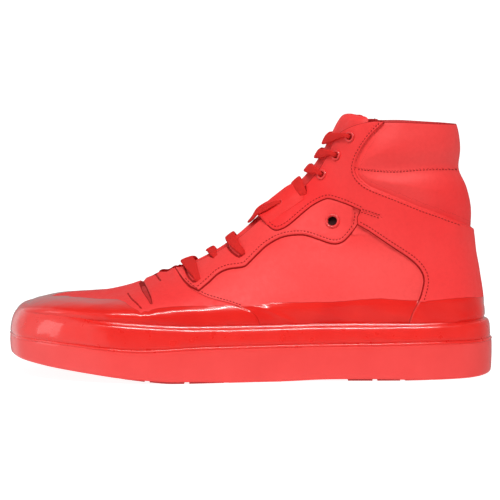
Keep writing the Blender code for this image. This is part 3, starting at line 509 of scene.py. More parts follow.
def dip_depth(p, dx, dy):
    """How far below the edge of the glossy dip a point lies, mm."""
    line = np.interp(dx, *zip(*DIP_LINE))
    wob = waves(p[..., 0], p[..., 1], p[..., 2] * 0.2, 5, 30) * 0.28 + waves(p[..., 0], p[..., 1], p[..., 2] * 0.2, 6, 9) * 0.12
    for x0, w, dep in ((141, 1.6, 1.4), (148.5, 1.4, 0.8), (272, 2.6, -0.5), (424, 3.2, 0.6)):
        wob = wob + dep * np.exp(-((dx - x0) / w) ** 2)
    return (dy - line) * UNIT - wob


COLLAR_LINE = bend(COLLAR_SEAM)


def folded(x, y):
    h = np.zeros(x.shape)
    for line, depth, half in FOLD_LINES:
        d = away(x, y, line)
        ends = np.minimum(1, away(x, y, line[[0, 0]]) / (3 * half)) * np.minimum(1, away(x, y, line[[-1, -1]]) / (3 * half))
        h = h - depth * np.exp(-(d / half) ** 2) * ends
    return h


def relief(p, side, v=None):
    """Height over the plain form and the marks that the material reads, for skin points."""
    x, y = in_photo(p)
    up, strap, vamp = signed(x, y, OUT_UP), signed(x, y, OUT_STRAP), signed(x, y, OUT_VAMP)
    band = away(x, y, BAND_LINE) * UNIT
    slot = away(x, y, SLOT_LINE) * UNIT

    def inside(d, w=0.8):
        return smooth(0.5 + d / w)

    collar = inside(-up - 0.4, 1.0) * (y < 235) * (x > 352 - (y < 150) * 0)
    ridge = np.minimum(band, np.abs(up))
    puff = -1.9 + 3.0 * (1 - np.exp(-(ridge / 8.5) ** 2)) * (0.55 + 0.45 * smooth((x - 352) / 30))
    h = -1.75 + 0.5 * inside(vamp, 1.4)
    front = smooth((-92 - p[..., 0]) / 28)
    h = h * (1 - 0.95 * front)
    if v is not None:
        h = h * (1 - 0.7 * smooth((v - 0.72) / 0.2))
    h = h - 0.35 * np.exp(-(vamp / 0.55) ** 2) * (strap < 0)
    h = h + (-0.55 - h) * inside(strap)
    h = np.where(collar > 0, h * (1 - collar) + puff * collar, h)
    h = h * (1 - inside(up)) + 0.0 * inside(up)
    # rolled edge of each overlay and the pressed line of its stitches
    for d, sure in ((up, up > -3), (strap, (strap > -3) & (up < 0))):
        h = h + sure * (0.16 * np.exp(-((d - 0.75) / 0.5) ** 2) - 0.12 * np.exp(-((d - 1.9) / 0.45) ** 2)
                        - 0.30 * np.exp(-((d + 0.75) / 0.7) ** 2) * (d < 0.2))
    h = h - 0.3 * np.exp(-(slot / 0.6) ** 2)
    h = h + folded(x, y)
    h = h + 0.10 * waves(p[..., 0], p[..., 1], p[..., 2], 11, 34) + 0.04 * waves(p[..., 0], p[..., 1], p[..., 2], 12, 11)
    wedge = signed(x, y, WEDGE_LINE)
    h = h - 1.5 * smooth(0.5 + wedge / 1.4)
    # the material paints shade inside the wedge and along the slit and lace-shadow lines
    slit_shade = -wedge + 0.1
    for line, half in SHADE_SLIT_LINES:
        d = away(x, y, line) * UNIT
        h = h - 0.7 * np.exp(-(d / (half * 1.3)) ** 2)
        slit_shade = np.minimum(slit_shade, np.maximum(d - half, 0) + 0.02)
    dip = dip_depth(p, x, y)
    low = smooth(dip / 4.0)
    h = h * (1 - 0.35 * low) + (0.10 + 0.16 * (np.exp(-((x - 283) / 16) ** 2) + np.exp(-((x - 420) / 9) ** 2))) * smooth((dip + 0.4) / 1.4) + 0.5 * smooth((p[..., 0] - 120) / 16) * smooth((dip + 16) / 18)
    h = h + 0.7 * smooth((p[..., 0] - 112) / 18) * smooth((112 - p[..., 2]) / 20)
    h = h + low * (0.16 * waves(p[..., 0], p[..., 1] * 1.0, p[..., 2] * 3.0, 21, 30)
                   + 0.05 * waves(p[..., 0], p[..., 1], p[..., 2] * 1.5, 22, 9))
    foot = np.clip((p[..., 2] - z_ledge(p[..., 0])) / 2.5, 0, 1)
    h = np.where(p[..., 2] < 60, np.minimum(h, 0.1 + 1.2 * foot), h)
    seam = away(x, y, COLLAR_LINE) * UNIT
    near_collar = (collar > 0.01) & (seam < 3.5)
    marks = {"d_up": np.where(near_collar, 9.0, up), "d_strap": np.where(up > 0.3, 9.0, strap),
             "d_vamp": np.where((strap > 0) | (up > 0), 9.0, vamp),
             "d_band": np.minimum(np.where(up > -0.2, 9.0, band), seam + 0.12), "d_slot": slot, "dip": dip}
    # panel tone, tuned against the photograph, with painted light and shade in it: the quarter lightest, lighter
    # towards the bottom as painted light from below; the eyestay deepest, with painted shade towards its front
    tone_and_painted_light = 0.55 + 0.35 * inside(-strap, 3.0) * inside(-up, 3.0) * inside(-vamp, 3.0) * smooth((y - 235) / 30)
    # painted shade towards the front and lower edge of the eyestay, under the laces
    eyestay_front_shade = inside(up, 2.0) * smooth((356 - x + (y - 200) * 0.6) / 40)
    tone_and_painted_light = tone_and_painted_light - 0.4 * eyestay_front_shade - 0.08 * inside(up, 2.0) + 0.08 * inside(strap, 2.0) * (up < 0) - 0.12 * inside(vamp, 2.0) * (strap < 0)
    # ankle pads: two painted highlights, and painted shade towards their back and bottom
    tone_and_painted_light = tone_and_painted_light + collar * (0.12 + 0.45 * np.exp(-((x - 398) / 26) ** 2) * np.exp(-((y - 176) / 7.0) ** 2)
                            + 0.15 * np.exp(-((x - 392) / 22) ** 2) * np.exp(-((y - 134) / 9.0) ** 2)
                            - 0.35 * smooth((x - 415) / 40) * smooth((y - 140) / 60))
    marks["tone_and_painted_light"] = np.clip(tone_and_painted_light, 0, 1)
    marks["d_slit_shade"] = slit_shade
    return h, {k: np.clip(m, -9, 9) for k, m in marks.items()}


# ---------------------------------------------------------------- making meshes
def put(name, verts, faces, mats, marks=None, smooth_on=True, slots=None):
    """A piece from shoe points in mm."""
    mesh = bpy.data.meshes.new(name)
    v = (np.asarray(verts, float) + SHIFT) * MM
    faces = [tuple(int(q) for q in f) for f in faces]
    mesh.from_pydata(v.tolist(), [], faces)
    for m in mats:
        mesh.materials.append(m)
    if smooth_on:
        mesh.polygons.foreach_set("use_smooth", [True] * len(mesh.polygons))
    if slots is not None:
        mesh.polygons.foreach_set("material_index", slots)
    for key, values in (marks or {}).items():
        att = mesh.attributes.new(key, 'FLOAT', 'POINT')
        att.data.foreach_set("value", np.asarray(values, np.float32).ravel())
    mesh.update()
    obj = bpy.data.objects.new(name, mesh)
    bpy.context.scene.collection.objects.link(obj)
    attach(obj, "root")
    return obj


def grid_faces(n, m, flip=False, start=0, wrap=False):
    i, j = np.meshgrid(np.arange(n - 1), np.arange(m if wrap else m - 1), indexing="ij")
    j2 = (j + 1) % m
    f = np.stack([i * m + j, (i + 1) * m + j, (i + 1) * m + j2, i * m + j2], -1).reshape(-1, 4) + start
    return f[:, ::-1] if flip else f


# ---------------------------------------------------------------- materials
def nodes_of(name):
    mat = bpy.data.materials.new(name)
    mat.use_nodes = True
    nt = mat.node_tree
    return mat, nt, nt.nodes["Principled BSDF"]


def link(nt, a, b):
    nt.links.new(a, b)


def math_node(nt, op, a, b=None, c=None, clamp=False):
    n = nt.nodes.new("ShaderNodeMath")
    n.operation = op
    n.use_clamp = clamp
    for k, val in enumerate((a, b, c)):
        if val is None:
            continue
        if isinstance(val, (int, float)):
            n.inputs[k].default_value = val
        else:
            link(nt, val, n.inputs[k])
    return n.outputs[0]


def attr(nt, key):
    n = nt.nodes.new("ShaderNodeAttribute")
    n.attribute_name = key
    return n.outputs["Fac"]


def noise(nt, scale, detail=3, rough=0.5, stretch=None, dist=0.0):
    co = nt.nodes.new("ShaderNodeTexCoord").outputs["Object"]
    if stretch:
        m = nt.nodes.new("ShaderNodeMapping")
        m.inputs["Scale"].default_value = stretch
        link(nt, co, m.inputs["Vector"])
        co = m.outputs["Vector"]
    n = nt.nodes.new("ShaderNodeTexNoise")
    n.inputs["Scale"].default_value = scale
    n.inputs["Detail"].default_value = detail
    n.inputs["Roughness"].default_value = rough
    n.inputs["Distortion"].default_value = dist
    link(nt, co, n.inputs["Vector"])
    return n.outputs["Fac"]


def cells(nt, scale, feature='F1'):
    co = nt.nodes.new("ShaderNodeTexCoord").outputs["Object"]
    n = nt.nodes.new("ShaderNodeTexVoronoi")
    n.feature = feature
    n.inputs["Scale"].default_value = scale
    link(nt, co, n.inputs["Vector"])
    return n.outputs["Distance"]


def mix(nt, fac, a, b):
    n = nt.nodes.new("ShaderNodeMix")
    n.data_type = 'RGBA'
    for key, val in ((0, fac), (6, a), (7, b)):
        if isinstance(val, (int, float)):
            n.inputs[key].default_value = val
        elif isinstance(val, tuple):
            n.inputs[key].default_value = (*val, 1.0)
        else:
            link(nt, val, n.inputs[key])
    return n.outputs[2]


def ramp(nt, val, a, b, lo=0.0, hi=1.0):
    n = nt.nodes.new("ShaderNodeMapRange")
    n.clamp = True
    for k, q in ((1, a), (2, b), (3, lo), (4, hi)):
        n.inputs[k].default_value = q
    link(nt, val, n.inputs[0])
    return n.outputs[0]


def bump(nt, height, strength, distance, normal=None):
    n = nt.nodes.new("ShaderNodeBump")
    n.inputs["Strength"].default_value = strength
    n.inputs["Distance"].default_value = distance
    link(nt, height, n.inputs["Height"])
    if normal is not None:
        link(nt, normal, n.inputs["Normal"])
    return n.outputs["Normal"]


LEATHER_A, LEATHER_B = (0.92, 0.072, 0.068), (0.87, 0.012, 0.013)
DIP_A, DIP_B = (0.84, 0.016, 0.009), (0.76, 0.010, 0.006)
SHADE = (0.22, 0.003, 0.003)


def leather_colour(nt, toned):
    broad = noise(nt, 22, 2, 0.5)
    fine = noise(nt, 420, 3, 0.6)
    # panel tone with its painted light and shade, read from the mesh
    tone_and_painted_light = attr(nt, "tone_and_painted_light") if toned else 0.5
    drift = ramp(nt, broad, 0.3, 0.7, -0.12, 0.12)
    col = mix(nt, math_node(nt, 'ADD', drift, tone_and_painted_light, clamp=True), LEATHER_B, LEATHER_A)
    dusk = mix(nt, math_node(nt, 'MULTIPLY', ramp(nt, fine, 0.4, 0.75), 0.15), col, (0.66, 0.020, 0.020))
    return dusk


def leather_grain(nt, normal=None):
    pebble = cells(nt, 900)
    pores = noise(nt, 2600, 2, 0.5)
    h = math_node(nt, 'ADD', math_node(nt, 'MULTIPLY', pebble, 0.7), math_node(nt, 'MULTIPLY', pores, 0.35))
    n1 = bump(nt, h, 0.20, 0.00025, normal)
    return bump(nt, noise(nt, 90, 3, 0.55), 0.10, 0.0012, n1)


def make_leather(name, seams=True, dip=True, tint=None):
    mat, nt, b = nodes_of(name)
    col = leather_colour(nt, seams)
    if tint:
        col = mix(nt, 0.85, col, tint)
    rough = ramp(nt, noise(nt, 300, 2, 0.5), 0.3, 0.7, 0.50, 0.64)
    normal = leather_grain(nt)
    coat = None
    if seams:
        # painted shade in the crevices under the overlays' edges, along the seams (partly the seams' own joints), along
        # the rolled rim and in the slits
        seams_and_shade = None
        for key, wide, power in (("d_up", 0.78, 0.95), ("d_strap", 0.66, 0.9)):
            d = attr(nt, key)
            line = math_node(nt, 'MULTIPLY', ramp(nt, d, -wide, -0.45), ramp(nt, d, -0.1, 0.15, 1.0, 0.0))
            line = math_node(nt, 'MULTIPLY', line, power)
            seams_and_shade = line if seams_and_shade is None else math_node(nt, 'MAXIMUM', seams_and_shade, line)
        for key, wide, power in (("d_vamp", 0.38, 0.6), ("d_band", 0.36, 0.6), ("d_slot", 0.3, 0.7)):
            d = math_node(nt, 'ABSOLUTE', attr(nt, key))
            line = math_node(nt, 'MULTIPLY', ramp(nt, d, wide * 0.4, wide, 1.0, 0.0), power)
            seams_and_shade = math_node(nt, 'MAXIMUM', seams_and_shade, line)
        # painted shade along the rolled rim and the throat edge
        rim_shade = math_node(nt, 'MULTIPLY', ramp(nt, attr(nt, "d_edge"), 0.15, 0.65, 1.0, 0.0), 0.75)
        seams_and_shade = math_node(nt, 'MAXIMUM', seams_and_shade, rim_shade)
        # painted shade inside the slits, the pleat's wedge and along the laces' shadows
        d = attr(nt, "d_slit_shade")
        seams_and_shade = math_node(nt, 'MAXIMUM', seams_and_shade, math_node(nt, 'MULTIPLY', ramp(nt, d, 0.0, 0.35, 1.0, 0.0), 0.85))
        col = mix(nt, seams_and_shade, col, SHADE)
    if dip:
        d = attr(nt, "dip")
        in_dip = ramp(nt, d, -0.12, 0.12)
        deep = mix(nt, ramp(nt, noise(nt, 35, 2, 0.5), 0.35, 0.65), DIP_A, DIP_B)
        # painted shade: a darker line along the dip's edge
        lip_shade = math_node(nt, 'MULTIPLY', ramp(nt, d, -0.5, 0.0), ramp(nt, d, 0.0, 0.5, 1.0, 0.0))
        deep = mix(nt, math_node(nt, 'MULTIPLY', lip_shade, 0.5), deep, SHADE)
        if seams:
            # the same painted shade inside the dip
            deep = mix(nt, math_node(nt, 'MULTIPLY', seams_and_shade, 0.55), deep, SHADE)
        col = mix(nt, in_dip, col, deep)
        r = nt.nodes.new("ShaderNodeMix")
        r.data_type = 'FLOAT'
        link(nt, in_dip, r.inputs[0])
        link(nt, rough, r.inputs[2])
        r.inputs[3].default_value = 0.30
        rough = r.outputs[0]
        link(nt, in_dip, b.inputs["Coat Weight"])
        b.inputs["Coat Roughness"].default_value = 0.07
        b.inputs["Coat IOR"].default_value = 1.5
        wet = bump(nt, noise(nt, 60, 2, 0.5, (0.5, 0.5, 1.8)), 0.16, 0.0012)
        link(nt, wet, b.inputs["Coat Normal"])
    link(nt, col, b.inputs["Base Color"])
    link(nt, rough, b.inputs["Roughness"])
    link(nt, normal, b.inputs["Normal"])
    b.inputs["Specular IOR Level"].default_value = 0.34
    # no specular shine in the painted shade
    if seams:
        link(nt, math_node(nt, 'SUBTRACT', 0.34, math_node(nt, 'MULTIPLY', seams_and_shade, 0.34)), b.inputs["Specular IOR Level"])
    return mat


def make_rubber(name, a, b_col, rough, coat, bump_scale=140, bump_strength=0.18):
    mat, nt, b = nodes_of(name)
    col = mix(nt, ramp(nt, noise(nt, 40, 3, 0.6), 0.3, 0.7), a, b_col)
    link(nt, col, b.inputs["Base Color"])
    link(nt, ramp(nt, noise(nt, 200, 3, 0.5), 0.3, 0.7, rough, rough + 0.1), b.inputs["Roughness"])
    n = bump(nt, noise(nt, bump_scale, 3, 0.5, (0.6, 0.6, 1.6)), bump_strength, 0.0010)
    link(nt, n, b.inputs["Normal"])
    link(nt, n, b.inputs["Coat Normal"])
    b.inputs["Coat Weight"].default_value = coat
    b.inputs["Coat Roughness"].default_value = 0.08
    return mat


def make_fabric(name, a, b_col, scale, rough=0.85):
    mat, nt, b = nodes_of(name)
    co = nt.nodes.new("ShaderNodeTexCoord").outputs["Object"]
    w = nt.nodes.new("ShaderNodeTexWave")
    w.inputs["Scale"].default_value = scale
    w.inputs["Distortion"].default_value = 1.5
    w.inputs["Detail"].default_value = 1.0
    link(nt, co, w.inputs["Vector"])
    thread = w.outputs["Fac"]
    fuzz = noise(nt, scale * 6, 3, 0.6)
    col = mix(nt, math_node(nt, 'MULTIPLY', thread, 0.6), a, b_col)
    link(nt, col, b.inputs["Base Color"])
    b.inputs["Roughness"].default_value = rough
    h = math_node(nt, 'ADD', thread, math_node(nt, 'MULTIPLY', fuzz, 0.5))
    link(nt, bump(nt, h, 0.35, 0.0004), b.inputs["Normal"])
    b.inputs["Specular IOR Level"].default_value = 0.2
    return mat


LEATHER = make_leather("red_leather_panels")
LEATHER_PLAIN = make_leather("red_leather_tongue", seams=False, dip=False)
LEATHER_TAB = make_leather("red_leather_tab", seams=False, dip=False, tint=(0.85, 0.018, 0.016))
LINING = make_leather("red_lining", seams=False, dip=False, tint=(0.45, 0.012, 0.012))
RUBBER_DIP = make_rubber("dipped_rubber", (0.86, 0.020, 0.013), (0.80, 0.014, 0.009), 0.26, 1.0)
RUBBER_SOLE = make_rubber("sole_rubber", (0.88, 0.052, 0.047), (0.83, 0.042, 0.038), 0.36, 0.6, 70, 0.08)
# tread rubber darker than the sole: painted shade under the sole
SHADED_TREAD_RUBBER = make_rubber("tread_rubber_painted_shade", (0.50, 0.02, 0.02), (0.42, 0.014, 0.014), 0.45, 0.1)
LACE = make_fabric("lace_weave", (0.74, 0.022, 0.018), (0.58, 0.014, 0.012), 900)
FOOTBED = make_fabric("footbed_cloth", (0.50, 0.03, 0.03), (0.40, 0.02, 0.02), 700)
# stitch thread darker red: partly the thread's colour, partly painted shade of the stitch holes
THREAD_AND_HOLE_SHADE = make_fabric("stitch_thread_and_hole_shade", (0.34, 0.010, 0.010), (0.26, 0.006, 0.006), 2400)
METAL, nt_, b_ = nodes_of("eyelet_paint")
link(nt_, mix(nt_, ramp(nt_, noise(nt_, 260, 3, 0.6), 0.4, 0.7), (0.80, 0.036, 0.034), (0.66, 0.022, 0.020)), b_.inputs["Base Color"])
b_.inputs["Roughness"].default_value = 0.42
b_.inputs["Coat Weight"].default_value = 0.25
link(nt_, bump(nt_, noise(nt_, 700, 3, 0.6), 0.12, 0.0004), b_.inputs["Normal"])
# near-black for the discs behind the eyelet and tab holes: painted shade in place of the shoe's dark inside
DARK, nt_, b_ = nodes_of("hole_shade")
link(nt_, mix(nt_, noise(nt_, 300, 2, 0.5), (0.030, 0.002, 0.002), (0.05, 0.003, 0.003)), b_.inputs["Base Color"])
b_.inputs["Roughness"].default_value = 0.9

# ---------------------------------------------------------------- eyelet places
def locate(px, py, side=-1):
    """Row and share of the skin point seen at a photo pixel."""
    us, vs = np.meshgrid(np.linspace(9, 30, 505), np.linspace(0.30, 0.995, 320), indexing="ij")
    p, _ = skin(us, vs, side)
    x, y = in_photo(p)
    d = (x - px) ** 2 + (y - py) ** 2
    k = np.unravel_index(np.argmin(d), d.shape)
    return float(us[k]), float(vs[k])


EYES = {"1": (349.8, 136.8, 1.75, 3.45), "2": (336.0, 155.3, 1.75, 3.45), "3": (321.7, 174.5, 1.75, 3.45),
        "strap": (332.3, 221.0, 2.85, 4.65), "tab": (280.6, 203.9, 1.55, 0.0)}
SPOT = {}
for side in (-1, 1):
    for key, (px, py, hole, flange) in EYES.items():
        u, v = locate(px, py, side)
        p, n = skin(u, v, side)
        SPOT[(side, key)] = (u, v, p, n)

# ---------------------------------------------------------------- upper
def u_stations(n):
    us = np.linspace(0, COLLAR_ROW, 1500)
    track = 0
    for v in (0.25, 0.6, 0.95):
        p, _ = skin(us, np.full_like(us, v), -1)
        track = track + np.r_[0, np.cumsum(np.linalg.norm(np.diff(p, axis=0), axis=1))]
    u = np.interp(np.linspace(0, track[-1], n), track, us)
    for special in (float(ANKLE_ROW), THROAT_ROW):
        u[np.argmin(np.abs(u - special))] = special
    return u


def collar_drop(q):
    return 1.9 * np.clip((q - 0.74) / 0.26, 0, 1) ** 2.4


def wall(u, v):
    return WALL + COLLAR_PAD * smooth((u - 25.0) / 2.0) * (1 - smooth((v - 0.50) / 0.14))


def upper_grid(n, m):
    us, q = u_stations(n), np.linspace(0, 1, m)
    u0, qq = np.meshgrid(us, q, indexing="ij")
    top = COLLAR_ROW - collar_drop(qq)
    t = np.clip((u0 - 24.0) / (COLLAR_ROW - 24.0), 0, 1)
    uu = np.where(u0 <= 24.0, u0, 24.0 + (top - 24.0) * t)
    vv = qq * (1 - throat_gap(uu) / half_length(np.maximum(uu, 0.05)))
    return uu, vv


RIM = {}
for side, word, nu, nv in ((-1, "lateral", 450, 205), (1, "medial", 330, 150)):
    uu, vv = upper_grid(nu, nv)
    p, n = skin(uu, vv, side)
    h, marks = relief(p, side, vv)
    # edges: distance over the surface to the throat edge and the collar rim, read by the material for the painted shade
    # along the rim
    from_edge = (1 - vv / np.maximum(vv[:, -1:], 1e-6)) * half_length(uu)
    outer = p + n * h[..., None]
    to_rim = np.linalg.norm(np.diff(p, axis=0), axis=-1)
    to_rim = np.vstack([np.cumsum(to_rim[::-1], axis=0)[::-1], np.zeros((1, nv))])
    to_throat = np.where(uu > THROAT_ROW - 0.05, (vv[:, -1:] - vv) * half_length(uu), 9.0)
    marks["d_edge"] = np.clip(np.minimum(to_rim, to_throat), 0, 9)
    verts = outer.reshape(-1, 3)
    faces = grid_faces(nu, nv, flip=(side > 0))
    # open the eyelet holes
    centre = verts[faces].mean(1)
    keep = np.ones(len(faces), bool)
    for key, (px, py, hole, flange) in EYES.items():
        c, ax = SPOT[(side, key)][2], SPOT[(side, key)][3]
        d = centre - c
        r = np.linalg.norm(d - (d @ ax)[:, None] * ax, axis=1)
        keep &= ~((r < hole + 0.25) & (np.abs(d @ ax) < 8))
    faces = faces[keep]
    # short skirt down into the tray
    low = outer[:, 0].copy()
    k = int(np.argmin(np.abs(uu[:, 0] - ANKLE_ROW)))
    rows = []
    for drop, draw in ((3.0, 0.2), (6.0, 0.8)):
        line = low[:k + 1].copy()
        for i in range(k + 1):
            flat = ledge_normal(p[i, 0, 0], side) if 0 < i < k else np.array([-1.0 if i == 0 else 1.0, 0.0])
            line[i, :2] -= flat * draw
            line[i, 2] -= drop
        rows.append(line)
    base_id = len(verts)
    verts = np.vstack([verts] + rows)
    ids = [np.arange(k + 1) * nv, base_id + np.arange(k + 1), base_id + k + 1 + np.arange(k + 1)]
    extra = []
    for a, b in zip(ids[:-1], ids[1:]):
        f = np.stack([a[:-1], b[:-1], b[1:], a[1:]], -1)
        extra.append(f if side < 0 else f[:, ::-1])
    faces = np.vstack([faces] + extra)
    all_marks = {key: np.r_[m_.ravel(), np.repeat(m_[:k + 1, 0], 1), m_[:k + 1, 0]] for key, m_ in marks.items()}
    obj = put(f"upper_skin_{word}", verts, faces, [LEATHER], all_marks)
    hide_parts("upper")
    # remember the rim line: throat edge from its round end up, then along the collar to the back
    start = int(np.argmin(np.abs(uu[:, 0] - THROAT_ROW)))
    edge_u = np.r_[uu[start:, -1], uu[-1, ::-1][1:]]
    edge_v = np.r_[vv[start:, -1], vv[-1, ::-1][1:]]
    RIM[side] = (edge_u, edge_v, np.vstack([outer[start:, -1], outer[-1, ::-1][1:]]))

# lining, its own sheet inside the wall
pv, pf = [], []
for side in (-1, 1):
    uu, vv = upper_grid(150, 70)
    p, n = skin(uu, vv, side)
    inner = p - n * wall(uu, vv)[..., None]
    f = grid_faces(150, 70, flip=(side < 0), start=sum(len(q) for q in pv))
    pv.append(inner.reshape(-1, 3))
    centre = np.vstack(pv)[f].mean(1)
    keep = np.ones(len(f), bool)
    for key, (px, py, hole, flange) in EYES.items():
        c, ax = SPOT[(side, key)][2], SPOT[(side, key)][3]
        d = centre - c
        r = np.linalg.norm(d - (d @ ax)[:, None] * ax, axis=1)
        keep &= ~((r < hole + 1.0) & (np.abs(d @ ax) < 8))
    pf.append(f[keep])
lining = put("upper_lining", np.vstack(pv), np.vstack(pf), [LINING])
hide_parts("upper")

# rim: a rolled edge from the skin over to the lining, both sides
rv, rf = [], []
for side in (-1, 1):
    eu, ev, pts = RIM[side]
    q, n = skin(eu, ev, side)
    inner = q - n * wall(eu, ev)[..., None]
    step = np.gradient(pts, axis=0)
    step /= np.maximum(np.linalg.norm(step, axis=1)[:, None], 1e-9)
    away_dir = np.cross(step, n) * (1 if side < 0 else -1)
    away_dir /= np.maximum(np.linalg.norm(away_dir, axis=1)[:, None], 1e-9)
    centre_dir = (q - p.mean((0, 1)))
    mid, half = (pts + inner) / 2, (pts - inner) / 2
    r = np.linalg.norm(half, axis=1)[:, None]
    ring = []
    for a in np.linspace(0, math.pi, 9):
        ring.append(mid + half * math.cos(a) + away_dir * np.minimum(r, 1.5) * math.sin(a))
    ring = np.stack(ring, 1)
    start = sum(len(x) for x in rv)
    rf.append(grid_faces(len(pts), 9, flip=(side > 0), start=start))
    rv.append(ring.reshape(-1, 3))
rim = put("upper_rim", np.vstack(rv), np.vstack(rf), [LINING])
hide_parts("upper")


# ---------------------------------------------------------------- tongue
def tongue_half(u):
    return np.interp(u, (9, 14, 20, 26, 31), (19, 21, 24, 28, 30))


def tongue_points(nu, nv):
    u0, s = np.meshgrid(np.linspace(9.6, 30.55, nu), np.linspace(-1, 1, nv), indexing="ij")
    share = np.abs(s)
    uj = u0 - (0.25 * share ** 2 + 0.55 * share ** 8) * smooth((u0 - 24) / 6.5)
    a = share * tongue_half(uj)
    v = 1 - a / half_length(uj)
    pa, na = skin(uj, v, -1)
    pb, nb = skin(uj, v, 1)
    p = np.where((s < 0)[..., None], pa, pb)
    n = np.where((s < 0)[..., None], na, nb)
    gap = np.maximum(1.0, throat_gap(uj) - 3.5)
    rise = smooth((uj - 12.2) / 1.5) * (1 - smooth(a / gap))
    deep = WALL + 1.0 - 2.1 * rise
    thick = 4.6 - 2.4 * share ** 4
    return u0, s, p, n, deep, thick


u0, s, p, n, deep, thick = tongue_points(240, 90)
end = smooth((30.55 - u0) / 1.1)
round_ = np.sqrt(np.clip(1 - (1 - end) ** 2, 0, 1)) * np.sqrt(np.clip(1 - np.abs(s) ** 14, 0, 1)) ** 0.5
puff = 0.35 * (1 - s ** 2) + 0.10 * waves(p[..., 0], p[..., 1], p[..., 2], 31, 18)
crown = smooth((u0 - 27.6) / 2.6) * np.clip(1 - s ** 2, 0, 1) ** 1.5
p = p + crown[..., None] * np.array([1.6, 0.0, 2.2])
puff = puff + 2.4 * crown
p = p + n * np.clip(folded(*in_photo(p)), -0.5, 3)[..., None]
top = p - n * (deep + thick / 2)[..., None] + n * ((thick / 2 + puff * 0.5) * round_)[..., None]
bot = p - n * (deep + thick / 2)[..., None] - n * ((thick / 2) * round_)[..., None]
nu, nv = u0.shape
vt = np.vstack([top.reshape(-1, 3), bot.reshape(-1, 3)])
ft = [grid_faces(nu, nv), grid_faces(nu, nv, flip=True, start=nu * nv)]
ring = np.r_[np.arange(nv), nv * np.arange(1, nu) + nv - 1, (nu - 1) * nv + np.arange(nv - 2, -1, -1), nv * np.arange(nu - 2, 0, -1)]
ft.append(np.stack([ring, np.roll(ring, -1), np.roll(ring, -1) + nu * nv, ring + nu * nv], -1))
tongue = put("tongue_pad", vt, np.vstack(ft), [LEATHER_PLAIN])
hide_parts("tongue")


# ---------------------------------------------------------------- laces
def lace(name, node, stops, width=6.0, thick=1.7):
    """A flat lace over named stops: (side, row, arc from the crest, height, width share)."""
    pts, nrm, wid = [], [], []
    for side, row, arc, up, share in stops:
        p, n = skin(row, 1 - arc / float(half_length(row)), side)
        p, n = p.reshape(3), n.reshape(3)
        if arc < 1.0:
            n = n * np.array([1, 0.2, 1])
            n = n / np.linalg.norm(n)
        pts.append(p + n * up)
        nrm.append(n)
        wid.append(share)
    pts = bend(pts, 0.8)
    t = np.linspace(0, 1, len(pts))
    k = np.linspace(0, 1, len(nrm))
    nrm = np.stack([np.interp(t, k, np.array(nrm)[:, c]) for c in range(3)], 1)
    wid = np.interp(t, k, wid)
    tan = np.gradient(pts, axis=0)
    tan /= np.linalg.norm(tan, axis=1)[:, None]
    side_dir = np.cross(tan, nrm)
    side_dir /= np.linalg.norm(side_dir, axis=1)[:, None]
    nrm = np.cross(side_dir, tan)
    m = 20
    ang = np.linspace(0, 2 * math.pi, m, endpoint=False)
    cs, sn = np.cos(ang), np.sin(ang)
    ex = np.sign(cs) * np.abs(cs) ** 0.6
    ey = np.sign(sn) * np.abs(sn) ** 0.8
    rib = 1 + 0.05 * np.cos(ex * 9)
    ring = (pts[:, None] + side_dir[:, None] * (ex * width / 2)[None, :, None] * wid[:, None, None]
            + nrm[:, None] * (ey * thick / 2 * rib)[None, :, None])
    n_ = len(pts)
    faces = [tuple(f) for f in grid_faces(n_, m, wrap=True)]
    faces += [tuple(range(m)), tuple((n_ - 1) * m + q for q in range(m - 1, -1, -1))]
    obj = put(name, ring.reshape(-1, 3), faces, [LACE])
    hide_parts(node)
    return obj


def eye_arc(side, key):
    u, v, p, n = SPOT[(side, key)]
    return u, (1 - v) * float(half_length(u))


for k, key in enumerate(("1", "2", "3")):
    ua, aa = eye_arc(-1, key)
    ub, ab = eye_arc(1, key)
    mid = locate(*((327.0, 141.5), (319.0, 155.5), (309.0, 169.5))[k])[0]
    stops = [(-1, ua, aa - 0.3, -2.6, 0.42), (-1, ua, aa - 0.6, 0.3, 0.46), (-1, ua, aa - 2.2, 1.8, 0.75), (-1, ua, aa - 4.2, 1.9, 1.05),
             (-1, ua * 0.6 + mid * 0.4, aa * 0.55, 1.35, 1.0), (-1, mid, 0.0, 1.25, 1.0), (1, ub * 0.6 + mid * 0.4, ab * 0.55, 1.35, 1.0),
             (1, ub, ab - 4.2, 1.9, 1.05), (1, ub, ab - 2.2, 1.8, 0.75), (1, ub, ab - 0.6, 0.3, 0.46), (1, ub, ab - 0.3, -2.6, 0.42)]
    lace(f"lace_row_{k + 1}", f"lace_{k + 1}", stops)

LOW_LACES = (
    # piece and node number, then photo pixels: across, down, height mm, width share
    (4, ((304.0, 195.5, -1.6, 0.7), (303.0, 193.0, 0.2, 0.9), (300.5, 188, 0.55, 1.15), (297.5, 182.5, 0.7, 1.2))),
    (5, ((281.3, 203.6, -0.6, 0.45), (279.3, 204.8, 2.3, 0.55), (271, 208.8, 2.9, 0.95), (260.5, 214.4, 2.6, 1.05),
         (254.5, 218.4, 1.0, 1.0), (250.5, 219.8, 0.0, 0.95))),
    (6, ((243.2, 252.6, -1.8, 0.6), (241.0, 250.6, 0.5, 0.8), (236.8, 246.6, 1.3, 1.1), (232.0, 239.5, 1.4, 1.2), (228.5, 234.5, 1.4, 1.2))),
    (7, ((214.6, 256.2, -1.8, 0.5), (213.6, 254.0, 0.3, 0.7), (211.6, 250.6, 0.8, 1.0), (208.5, 246.5, 1.2, 1.0))),
    (8, ((198.0, 279.6, -1.8, 0.6), (196.6, 277.0, 0.5, 0.85), (193.6, 271.6, 1.2, 1.2), (190.6, 265.4, 1.4, 1.4), (187.0, 259.6, 1.5, 1.4))),
)
